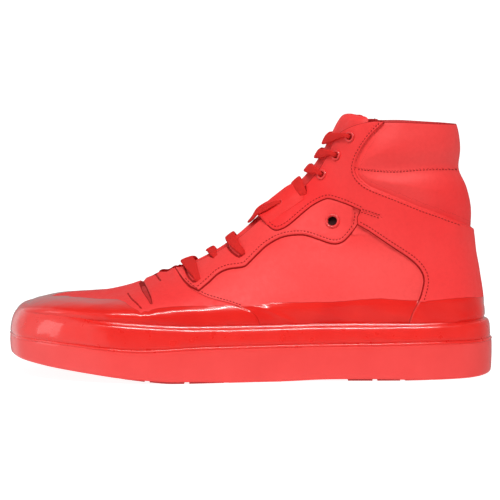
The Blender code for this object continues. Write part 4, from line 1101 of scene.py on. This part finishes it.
for k, path in LOW_LACES:
    arms = {}
    for side in (-1, 1):
        arm = []
        for px, py, up_, share in path:
            u, v = locate(px, py, side)
            arm.append((side, u, (1 - v) * float(half_length(u)), up_, share))
        side_, u, a_, up_, share = arm[-1]
        arm[-1] = (side_, u, max(0.0, a_), up_, share)
        arms[side] = arm
    uc = (arms[-1][-1][1] + arms[1][-1][1]) / 2
    crest_stop = [(-1, uc, 0.0, path[-1][2] + 0.2, path[-1][3])]
    lace(f"lace_row_{k}", f"lace_{k}", [q for q in arms[-1] if q[2] > 1.2] + crest_stop + [q for q in arms[1][::-1] if q[2] > 1.2])

# ---------------------------------------------------------------- eyelets
def lathe(name, node, c, ax, ring, seg, mat, back=None):
    turn = Vector(ax).to_track_quat('Z', 'Y').to_matrix()
    a = np.linspace(0, 2 * math.pi, seg, endpoint=False)
    r, h = np.array(ring).T
    local = np.stack([np.outer(np.cos(a), r), np.outer(np.sin(a), r), np.tile(h, (seg, 1))], -1)
    pts = local @ np.array(turn).T + c
    m = len(ring)
    faces = []
    for i in range(seg):
        for j in range(m):
            i2, j2 = (i + 1) % seg, (j + 1) % m
            faces.append((i * m + j, i2 * m + j, i2 * m + j2, i * m + j2))
    verts, mats, slots = pts.reshape(-1, 3), [mat], [0] * len(faces)
    # a dark disc behind the hole, painted shade
    if back is not None:
        radius, depth = back
        disc = np.stack([np.cos(a) * radius, np.sin(a) * radius, np.full(seg, depth)], -1) @ np.array(turn).T + c
        faces.append(tuple(len(verts) + q for q in range(seg)))
        verts, mats, slots = np.vstack([verts, disc]), [mat, DARK], slots + [1]
    obj = put(name, verts, faces, mats, slots=slots)
    if node:
        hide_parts(node)
    return obj


for (side, key), (u, v, p, n) in SPOT.items():
    word = "lateral" if side < 0 else "medial"
    hole, flange = EYES[key][2:]
    h, _ = relief(p[None, None], side)
    h = float(h[0, 0])
    if key == "tab":
        lathe(f"tab_hole_{word}", None, p, n, [(hole, 0.2), (hole, 1.85), (hole + 0.35, 2.15), (hole + 0.8, 2.05), (hole + 0.8, 0.2)],
              32, LEATHER_PLAIN, (hole + 0.1, 0.9))
        continue
    w = flange - hole
    ring = [(hole, h - 2.6), (hole, h + 0.35)]
    for a in np.linspace(math.pi, 0, 9):
        ring.append((hole + w * 0.5 + w * 0.5 * math.cos(a), h + 0.25 + 0.75 * math.sin(a)))
    ring += [(flange, h - 0.4), (hole + 0.5, h - 0.5), (hole + 0.5, h - 2.6)]
    lathe(f"eyelet_ring_{word}_{key}", f"eyelet_{word}_{key}", p, n, ring, 48, METAL, (hole + 0.2, h - 2.2))

# ---------------------------------------------------------------- the holed tab at the throat, one each side
TAB_FRONT = ((247.5, 204.0), (252.5, 208.5), (257.0, 213.8), (261.5, 218.6), (266.5, 224.0), (272.0, 227.9), (279, 228.6), (287, 225.0))
TAB_BACK = ((300, 178), (301.5, 184), (303, 190), (304, 196), (305, 202), (305.5, 206), (306, 209), (306.5, 209.5))
for side, word in ((-1, "lateral"), (1, "medial")):
    rows_ = []
    front_ = bend(TAB_FRONT, 1.5)
    back_ = bend(TAB_BACK, 1.0)
    fr = [locate(px, py, side) for px, py in front_]
    bk = [locate(px, py, side) for px, py in back_]
    fa = np.array([(u, (1 - v) * float(half_length(u))) for u, v in fr])
    ba = np.array([(u, (1 - v) * float(half_length(u))) for u, v in bk])
    na, nk = 40, 60
    arcs = np.linspace(1.6, 20.0, na)
    order = np.argsort(fa[:, 1])
    uf = np.interp(arcs, fa[order, 1], fa[order, 0])
    order = np.argsort(ba[:, 1])
    ub_ = np.interp(arcs, ba[order, 1], ba[order, 0])
    k = np.linspace(0, 1, nk) ** 1.5
    U = uf[:, None] * (1 - k) + ub_[:, None] * k
    A = np.repeat(arcs[:, None], nk, 1)
    P, N = skin(U, 1 - A / half_length(U), side)
    dist = np.linalg.norm(P - P[:, :1], axis=-1)
    edge_f = 1 - (1 - np.clip(dist / 1.3, 0, 1)) ** 2
    edge_c = 1 - (1 - np.clip((A - 1.6) / 1.3, 0, 1)) ** 2
    fade = (1 - smooth((k - 0.62) / 0.38))[None, :] * (1 - smooth((A - 13.0) / 7.0))
    H = 0.05 + 1.75 * np.sqrt(np.clip(edge_f * edge_c, 0, 1)) * fade + 0.25 * np.exp(-((A - 6) / 4) ** 2) * fade
    hole_c, hole_n = SPOT[(side, "tab")][2:]
    topv, botv = P + N * H[..., None], P + N * (H - 1.9 * fade - 0.25)[..., None]
    faces = grid_faces(na, nk, flip=(side < 0))
    centre = topv.reshape(-1, 3)[faces].mean(1)
    d = centre - hole_c
    r = np.linalg.norm(d - (d @ hole_n)[:, None] * hole_n, axis=1)
    keep = r > EYES["tab"][2] + 0.1
    n_ = na * nk
    ringi = np.r_[np.arange(nk), nk * np.arange(1, na) + nk - 1, (na - 1) * nk + np.arange(nk - 2, -1, -1), nk * np.arange(na - 2, 0, -1)]
    wallf = np.stack([ringi, np.roll(ringi, -1), np.roll(ringi, -1) + n_, ringi + n_], -1)
    low = grid_faces(na, nk, flip=(side > 0), start=n_)
    obj = put(f"tab_{word}", np.vstack([topv.reshape(-1, 3), botv.reshape(-1, 3)]), np.vstack([faces[keep], low[keep], wallf]), [LEATHER_TAB])
    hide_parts("upper")

# ---------------------------------------------------------------- stitches
def stitch_row(line, side, gap=2.1, long=1.35, r=0.22, lift=0.05, taper=None):
    """Ends of small sewn threads along a line of photo pixels, in the same pixels."""
    pts = bend(line, 0.5)
    run = np.r_[0, np.cumsum(np.linalg.norm(np.diff(pts, axis=0), axis=1))] * UNIT
    out = []
    for s0 in np.arange(0.6, run[-1] - long, gap):
        a = np.array([np.interp(s0 + k, run, pts[:, 0]) for k in (0, long)])
        b = np.array([np.interp(s0 + k, run, pts[:, 1]) for k in (0, long)])
        out.append((a, b))
    return out


def offset_line(line, by):
    p = bend(line, 1.0)
    d = np.gradient(p, axis=0)
    d /= np.linalg.norm(d, axis=1)[:, None]
    return p + np.stack([-d[:, 1], d[:, 0]], 1) * by


US, VS = np.meshgrid(np.linspace(3, 30, 700), np.linspace(0.02, 0.995, 420), indexing="ij")


class Finder:
    def __init__(self, side):
        self.side = side
        p, _ = skin(US, VS, side)
        x, y = in_photo(p)
        self.x, self.y = x, y
        from mathutils.kdtree import KDTree
        sub = (slice(None, None, 3), slice(None, None, 3))
        self.ux, self.vx = US[sub].ravel(), VS[sub].ravel()
        self.tree = KDTree(self.ux.size)
        for k, (a, b) in enumerate(zip(x[sub].ravel(), y[sub].ravel())):
            self.tree.insert((a, b, 0), k)
        self.tree.balance()

    def at(self, px, py):
        _, k, _ = self.tree.find((px, py, 0))
        u, v = self.ux[k], self.vx[k]
        e = 1e-3
        for _ in range(3):
            p, _ = skin(np.array([u, u + e * 10, u]), np.array([v, v, v + e]), self.side)
            x, y = in_photo(p)
            j = np.array([[(x[1] - x[0]) / (e * 10), (x[2] - x[0]) / e], [(y[1] - y[0]) / (e * 10), (y[2] - y[0]) / e]])
            try:
                d = np.linalg.solve(j, [px - x[0], py - y[0]])
            except np.linalg.LinAlgError:
                break
            u, v = u + np.clip(d[0], -0.3, 0.3), v + np.clip(d[1], -0.02, 0.02)
        return float(np.clip(u, 0.1, 31)), float(np.clip(v, 0, 1))


SEWN = (
    offset_line(STRAP[:-1], -3.0), offset_line(LOBE[2:], -3.0), offset_line(COLLAR_SEAM[1:-1], 2.4),
    offset_line(REAR_EDGE[:-2], -3.4), offset_line(VAMP_EDGE[3:-2], -2.2), offset_line(SLOT, -1.6), offset_line(SLOT, 1.6),
    np.array([(354.2, 211.5), (353.6, 219), (352.5, 225)]), offset_line(BAND_SEAM[1:-1], 1.2),
)
for side, word in ((-1, "lateral"), (1, "medial")):
    find = Finder(side)
    mids, tans, nrms = [], [], []
    for line in SEWN:
        for a, b in stitch_row(line, side):
            ends = []
            for px, py in zip(a, b):
                u, v = find.at(px, py)
                ends.append((u, v))
            ua, va = np.array(ends).T
            p, n = skin(ua, va, side)
            if np.linalg.norm(p[1] - p[0]) > 4 or dip_depth(p, *in_photo(p)).max() > -0.5:
                continue
            mids.append(p.mean(0))
            tans.append(p[1] - p[0])
            nrms.append(n.mean(0))
    mids, tans, nrms = map(np.array, (mids, tans, nrms))
    h, _ = relief(mids[:, None], side)
    mids = mids + nrms * (h + 0.02)
    length = np.linalg.norm(tans, axis=1)[:, None]
    tans = tans / length
    bi = np.cross(tans, nrms)
    ang = np.linspace(0, 2 * math.pi, 6, endpoint=False)
    verts, faces = [], []
    for k in range(len(mids)):
        base_ = len(verts) * 0 + k * 24
        for s_, rr in ((-0.5, 0.10), (-0.3, 0.24), (0.3, 0.24), (0.5, 0.10)):
            for a_ in ang:
                lift = 0.10 if abs(s_) < 0.4 else -0.10
                verts.append(mids[k] + tans[k] * length[k] * s_ + bi[k] * rr * math.cos(a_) + nrms[k] * (rr * math.sin(a_) + lift))
        for q in range(3):
            for j in range(6):
                j2 = (j + 1) % 6
                faces.append((base_ + q * 6 + j, base_ + q * 6 + j2, base_ + (q + 1) * 6 + j2, base_ + (q + 1) * 6 + j))
        faces.append(tuple(base_ + j for j in range(5, -1, -1)))
        faces.append(tuple(base_ + 18 + j for j in range(6)))
    obj = put(f"stitches_{word}", verts, faces, [THREAD_AND_HOLE_SHADE])
    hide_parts("upper")

# ---------------------------------------------------------------- sole
BX = np.concatenate([X_F0 + (X_F1 - X_F0) * 0.5 * (1 - np.cos(np.linspace(0, math.pi, 300)))])
NX = len(BX)


def loop(out):
    """Closed plan loop set out from the ledge line, outer side toe to heel then back."""
    pts, nrm = [], []
    for side, xs in ((-1, BX), (1, BX[-2:0:-1])):
        for k, x in enumerate(xs):
            f = np.array([x, float(ledge_y(x, side))])
            if side < 0 and k == 0:
                nn = np.array([-1.0, 0.0])
            elif side < 0 and k == len(xs) - 1:
                nn = np.array([1.0, 0.0])
            else:
                nn = ledge_normal(x, side)
            pts.append(f)
            nrm.append(nn)
    return np.array(pts), np.array(nrm)


LP, LN = loop(0)


def ring_of(out, z_at, wob=0.0, seed=3, rise=None):
    toe = smooth((-84 - LP[:, 0]) / 40)
    if isinstance(out, tuple):
        out = (out[0] * (1 - toe) + out[1] * toe)[:, None]
    xy = LP + LN * out
    z = z_at(xy[:, 0], xy[:, 1])
    if rise is not None:
        z = z + rise[0] * (1 - toe) + rise[1] * toe
    if wob:
        w = waves(xy[:, 0], xy[:, 1], z, seed, 38) * wob + waves(xy[:, 0], xy[:, 1], z, seed + 1, 13) * wob * 0.4
        xy = xy + LN * w[:, None]
    return np.column_stack([xy, z])


def cap(idx, z_at, verts, cols=10, flip=False):
    """Closes a loop with rows across it."""
    n = len(idx)
    half = n // 2
    faces = []
    grid = []
    for k in range(half + 1):
        ia, ib = idx[k], idx[(n - k) % n]
        if ia == ib:
            grid.append([ia] * (cols + 1))
            continue
        a, b = verts[ia], verts[ib]
        row = [ia]
        for j in range(1, cols):
            q = a + (b - a) * j / cols
            verts.append(np.array([q[0], q[1], float(z_at(q[0], q[1]))]))
            row.append(len(verts) - 1)
        grid.append(row + [ib])
    for k in range(half):
        for j in range(cols):
            f = [grid[k][j], grid[k][j + 1], grid[k + 1][j + 1], grid[k + 1][j]]
            f = [q for i, q in enumerate(f) if q != f[i - 1]]
            if len(set(f)) > 2:
                faces.append(tuple(reversed(f)) if flip else tuple(f))
    return faces


def tower(name, node, rings, low_cap, top_cap, mats, cols=10, sharp=None):
    verts = [v for r in rings for v in r]
    n = len(LP)
    faces = []
    for k in range(len(rings) - 1):
        for j in range(n):
            j2 = (j + 1) % n
            faces.append((k * n + j, k * n + j2, (k + 1) * n + j2, (k + 1) * n + j))
    slots = [0] * len(faces)
    if low_cap is not None:
        f = cap(list(range(n)), low_cap, verts, cols)
        faces += f
        slots += [min(1, len(mats) - 1)] * len(f)
    if top_cap is not None:
        last = (len(rings) - 1) * n
        f = cap([last + j for j in range(n)], top_cap, verts, cols, True)
        faces += f
        slots += [0] * len(f)
    obj = put(name, verts, faces, mats, slots=slots)
    bm = bmesh.new()
    bm.from_mesh(obj.data)
    bmesh.ops.recalc_face_normals(bm, faces=bm.faces)
    bm.to_mesh(obj.data)
    bm.free()
    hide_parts(node)
    return obj


def arch(x, y):
    return 3.2 * np.exp(-((x - 38.0) / 20.0) ** 4) * smooth((y + 24.0) / 26.0)


def under(x, y):
    return z_under(x) + arch(x, y)


def ledge_z(x, y=0):
    return z_ledge(np.clip(x, X_F0, X_F1))


def dark_lugs_show(x):
    """Where the sidewall's lower edge rises so the lugs show below it; their darker rubber is painted shade under the
    sole.
    """
    return np.exp(-((x + 45) / 24) ** 4) + np.exp(-((x - 63) / 33) ** 4)


E = LEDGE_INSET
sole_rings = [
    ring_of(E - 3.4, lambda x, y: under(x, y) + 1.2),
    ring_of(E - 1.5, lambda x, y: under(x, y) + 0.35 + 0.9 * dark_lugs_show(x)),
    ring_of(E - 0.9, lambda x, y: under(x, y) + 0.30 + 0.9 * dark_lugs_show(x)),
    ring_of(E - 0.35, lambda x, y: under(x, y) + 0.8 + 0.7 * dark_lugs_show(x)),
    ring_of(E - 0.05, lambda x, y: under(x, y) + 2.4, 0.05),
    ring_of(E + 0.10, lambda x, y: under(x, y) + 5.0, 0.08),
    ring_of(E + 0.20, lambda x, y: (under(x, y) + z_band(x)) / 2 + 1, 0.10),
    ring_of(E + 0.15, lambda x, y: z_band(x) - 3.4, 0.10),
    ring_of(E + 0.08, lambda x, y: z_band(x) - 1.9, 0.10),
    ring_of(E - 0.08, lambda x, y: z_band(x) - 1.1, 0.10),
    ring_of(E - 0.40, lambda x, y: z_band(x) - 0.5, 0.08),
    ring_of(E - 0.85, lambda x, y: z_band(x) - 0.12, 0.08),
    ring_of(E - 1.3, lambda x, y: z_band(x) + 0.0, 0.08),
    ring_of(E - 2.6, lambda x, y: z_band(x) - 0.05),
]
tower("outsole_wall", "outsole", sole_rings, lambda x, y: under(x, y) + 1.2, lambda x, y: z_band(x) - 0.05,
      [RUBBER_SOLE, SHADED_TREAD_RUBBER])

mid_rings = [
    ring_of(E - 2.6, lambda x, y: z_band(x) - 0.02),
    ring_of((E - 1.35, E - 0.6), lambda x, y: z_band(x) + 0.02, 0.06, 8),
    ring_of((E - 1.05, E - 0.25), lambda x, y: z_band(x) + 0.55, 0.08, 8),
    ring_of((E - 0.85, E - 0.0), lambda x, y: z_band(x) + 1.6, 0.12, 8),
    ring_of((E - 0.80, E - 0.0), lambda x, y: z_band(x) + 3.0, 0.15, 8),
    ring_of((E - 0.95, E - 0.2), lambda x, y: z_band(x) * 0.6 + ledge_z(x) * 0.4, 0.22, 8),
    ring_of((E - 1.35, E - 0.75), lambda x, y: ledge_z(x) - 3.6, 0.22, 8, (0, -0.7)),
    ring_of((E - 1.8, E - 1.6), lambda x, y: ledge_z(x) - 1.8, 0.20, 8, (0, 0.0)),
    ring_of((E - 2.3, E - 2.5), lambda x, y: ledge_z(x) - 0.75, 0.16, 8, (0, 0.9)),
    ring_of((E - 2.9, E - 3.5), lambda x, y: ledge_z(x) - 0.22, 0.10, 8, (0, 2.1)),
    ring_of((E - 3.6, E - 4.6), lambda x, y: ledge_z(x) + 0.0, 0.06, 8, (0, 3.4)),
    ring_of((1.2, -0.5), lambda x, y: ledge_z(x), 0.05, 8, (0.0, 4.8)),
    ring_of((0.75, -1.8), lambda x, y: ledge_z(x), 0, 8, (0.15, 5.9)),
    ring_of((0.35, -3.2), lambda x, y: ledge_z(x), 0, 8, (0.65, 6.7)),
    ring_of((0.0, -4.8), lambda x, y: ledge_z(x), 0, 8, (1.5, 7.2)),
    ring_of((-0.5, -6.4), lambda x, y: ledge_z(x), 0, 8, (1.6, 7.0)),
    ring_of((-0.8, -6.6), lambda x, y: ledge_z(x) - 3.0, 0, 8, (0, 5.0)),
    ring_of((-1.4, -6.8), lambda x, y: z_band(x) + 5.0),
]
tower("midsole_wall", "midsole", mid_rings, lambda x, y: z_band(x) + 0.1, lambda x, y: z_band(x) + 5.0,
      [RUBBER_DIP])

bead = []
for a_ in np.radians(np.arange(-70, 200, 20)):
    bead.append(ring_of(E - 0.72 + 0.95 * math.cos(a_), lambda x, y, a_=a_: z_band(x) - 0.25 + 0.95 * math.sin(a_), 0.08))
tower("band_bead", "outsole", bead, lambda x, y: z_band(x) - 1.2, lambda x, y: z_band(x) - 0.5, [RUBBER_DIP])


# lugs of the tread, seen at the lower edge and from below, in darker rubber as painted shade under the sole
GROOVE_X = (-131.0, -114.0, -97.0, -80.0, -63.0, -15.0, 2.0, 76.0, 93.0)
edges = [-148.0] + [g for g in GROOVE_X] + [146.0]
lv, lf = [], []
for a, b in zip(edges[:-1], edges[1:]):
    if b - a > 50 and a > -20 and b < 90:
        spans = [(a, 20.0), (58.0, b)]
    elif b - a > 40:
        cut = np.linspace(a, b, int((b - a) / 17) + 1)
        spans = list(zip(cut[:-1], cut[1:]))
    else:
        spans = [(a, b)]
    for s0, s1 in spans:
        s0, s1 = s0 + 1.5, s1 - 1.5
        if s1 - s0 < 4:
            continue
        xs = np.linspace(s0, s1, 14)
        n0 = len(lv)
        for x in xs:
            yo, yi = float(ledge_y(np.clip(x, X_F0, X_F1), -1)) - E + 0.9, float(ledge_y(np.clip(x, X_F0, X_F1), 1)) + E - 0.9
            for k, y in enumerate(np.linspace(yo, yi, 12)):
                end_ = 0.25 if x in (xs[0], xs[-1]) or k in (0, 11) else 0.0
                lv.append((x, y, float(under(x, y)) + end_))
        for x in xs:
            yo, yi = float(ledge_y(np.clip(x, X_F0, X_F1), -1)) - E + 0.8, float(ledge_y(np.clip(x, X_F0, X_F1), 1)) + E - 0.8
            for y in np.linspace(yo, yi, 12):
                lv.append((x, y, float(under(x, y)) + 1.4))
        f = grid_faces(14, 12, start=n0)
        lf += [tuple(q) for q in f] + [tuple(q) for q in grid_faces(14, 12, flip=True, start=n0 + 168)]
        ringi = np.r_[np.arange(12), 12 * np.arange(1, 14) + 11, 13 * 12 + np.arange(10, -1, -1), 12 * np.arange(12, 0, -1)] + n0
        lf += [tuple(q) for q in np.stack([ringi, np.roll(ringi, -1), np.roll(ringi, -1) + 168, ringi + 168], -1)]
lugs = put("outsole_lugs", lv, lf, [SHADED_TREAD_RUBBER], smooth_on=False)
bm = bmesh.new()
bm.from_mesh(lugs.data)
bmesh.ops.recalc_face_normals(bm, faces=bm.faces)
bm.to_mesh(lugs.data)
bm.free()
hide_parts("outsole")

top_in = -SKIRT_IN - WALL - 0.5
ins = [
    ring_of(top_in - 0.6, lambda x, y: z_band(x) + 5.3),
    ring_of(top_in, lambda x, y: z_band(x) + 6.1),
    ring_of(top_in, lambda x, y: z_band(x) + 8.2),
    ring_of(top_in - 0.4, lambda x, y: z_band(x) + 8.8),
    ring_of(top_in - 1.2, lambda x, y: z_band(x) + 9.0),
]
tower("insole_bed", "insole", ins, lambda x, y: z_band(x) + 5.3,
      lambda x, y: z_band(x) + 9.0 - 0.9 * float(np.exp(-((x - 105) / 30) ** 2 - (y / 20) ** 2)), [FOOTBED], cols=24)

# ---------------------------------------------------------------- floor, light, camera
def plain(name, colour, rough=0.9, glow=0.0):
    mat, nt, b = nodes_of(name)
    link(nt, mix(nt, math_node(nt, 'MULTIPLY', noise(nt, 3, 2, 0.5), 0.1), colour, tuple(c * 0.97 for c in colour)), b.inputs["Base Color"])
    b.inputs["Roughness"].default_value = rough
    b.inputs["Specular IOR Level"].default_value = 0.0
    b.inputs["Emission Color"].default_value = (1, 1, 1, 1)
    b.inputs["Emission Strength"].default_value = glow
    return mat


mesh = bpy.data.meshes.new("floor")
mesh.from_pydata([(-6, -0.24, 0), (6, -0.24, 0), (6, 1.4, 0), (-6, 1.4, 0)], [], [(0, 1, 2, 3)])
mesh.materials.append(plain("studio_floor", (0.5, 0.5, 0.5), glow=0.92))
floor_obj = bpy.data.objects.new("floor", mesh)
floor_obj.location.z = -0.0002
bpy.context.scene.collection.objects.link(floor_obj)
floor_obj.visible_glossy = False

scene = bpy.context.scene
world = bpy.data.worlds.new("studio")
world.use_nodes = True
wn = world.node_tree
bg = wn.nodes["Background"]
bg.inputs["Color"].default_value = (1.0, 1.0, 1.0, 1)
lp = wn.nodes.new("ShaderNodeLightPath")
co = wn.nodes.new("ShaderNodeTexCoord")
sep = wn.nodes.new("ShaderNodeSeparateXYZ")
wn.links.new(co.outputs["Generated"], sep.inputs[0])
behind = wn.nodes.new("ShaderNodeMapRange")
behind.inputs[1].default_value, behind.inputs[2].default_value = 0.25, 0.8
behind.inputs[3].default_value, behind.inputs[4].default_value = 0.09, 0.35
wn.links.new(sep.outputs["Y"], behind.inputs[0])


aside = wn.nodes.new("ShaderNodeMapRange")
aside.inputs[1].default_value, aside.inputs[2].default_value = -0.42, -0.56
aside.inputs[3].default_value, aside.inputs[4].default_value = 0.0, 0.55
wn.links.new(sep.outputs["X"], aside.inputs[0])
both_ = wn.nodes.new("ShaderNodeMath")
both_.operation = 'ADD'
wn.links.new(behind.outputs[0], both_.inputs[0])
wn.links.new(aside.outputs[0], both_.inputs[1])
reflected = both_.outputs[0]


def choose(flag, yes, no):
    m = wn.nodes.new("ShaderNodeMix")
    m.data_type = 'FLOAT'
    wn.links.new(flag, m.inputs[0])
    for k, val in ((2, no), (3, yes)):
        if isinstance(val, float):
            m.inputs[k].default_value = val
        else:
            wn.links.new(val, m.inputs[k])
    return m.outputs[0]


strength = choose(lp.outputs["Is Camera Ray"], 1.15, choose(lp.outputs["Is Glossy Ray"], reflected, 0.27))
wn.links.new(strength, bg.inputs["Strength"])
scene.world = world
scene.view_settings.view_transform = 'Standard'
scene.view_settings.look = 'None'
scene.view_settings.exposure = 0.0


def soft_light(name, place, aim, size, watts, colour=(1, 1, 1)):
    data = bpy.data.lights.new(name, 'AREA')
    data.shape = 'RECTANGLE'
    data.size, data.size_y = size
    data.energy = watts
    data.color = colour
    obj = bpy.data.objects.new(name, data)
    obj.location = place
    obj.rotation_euler = (Vector(aim) - Vector(place)).to_track_quat('-Z', 'Y').to_euler()
    scene.collection.objects.link(obj)
    return obj


soft_light("key_top", (0.15, -0.75, 1.25), (0.0, 0, 0.06), (1.3, 0.45), 6.6)
soft_light("strip_top", (0.05, -0.62, 0.95), (0.0, 0, 0.05), (0.9, 0.06), 6.0)
soft_light("fill_left", (-1.35, -0.55, 0.45), (-0.05, 0, 0.06), (0.6, 0.8), 2.2)

cam_data = bpy.data.cameras.new("camera")
cam_data.sensor_width = 36.0
cam_data.lens = FOCUS / 500.0 * 36.0
cam_data.clip_end = 50
cam = bpy.data.objects.new("camera", cam_data)
cam.location = Vector(((EYE[0] + SHIFT[0]) * MM, (EYE[1] + SHIFT[1]) * MM, EYE[2] * MM))
cam.rotation_euler = (math.pi / 2 - TILT, 0, 0)
scene.collection.objects.link(cam)
scene.camera = cam
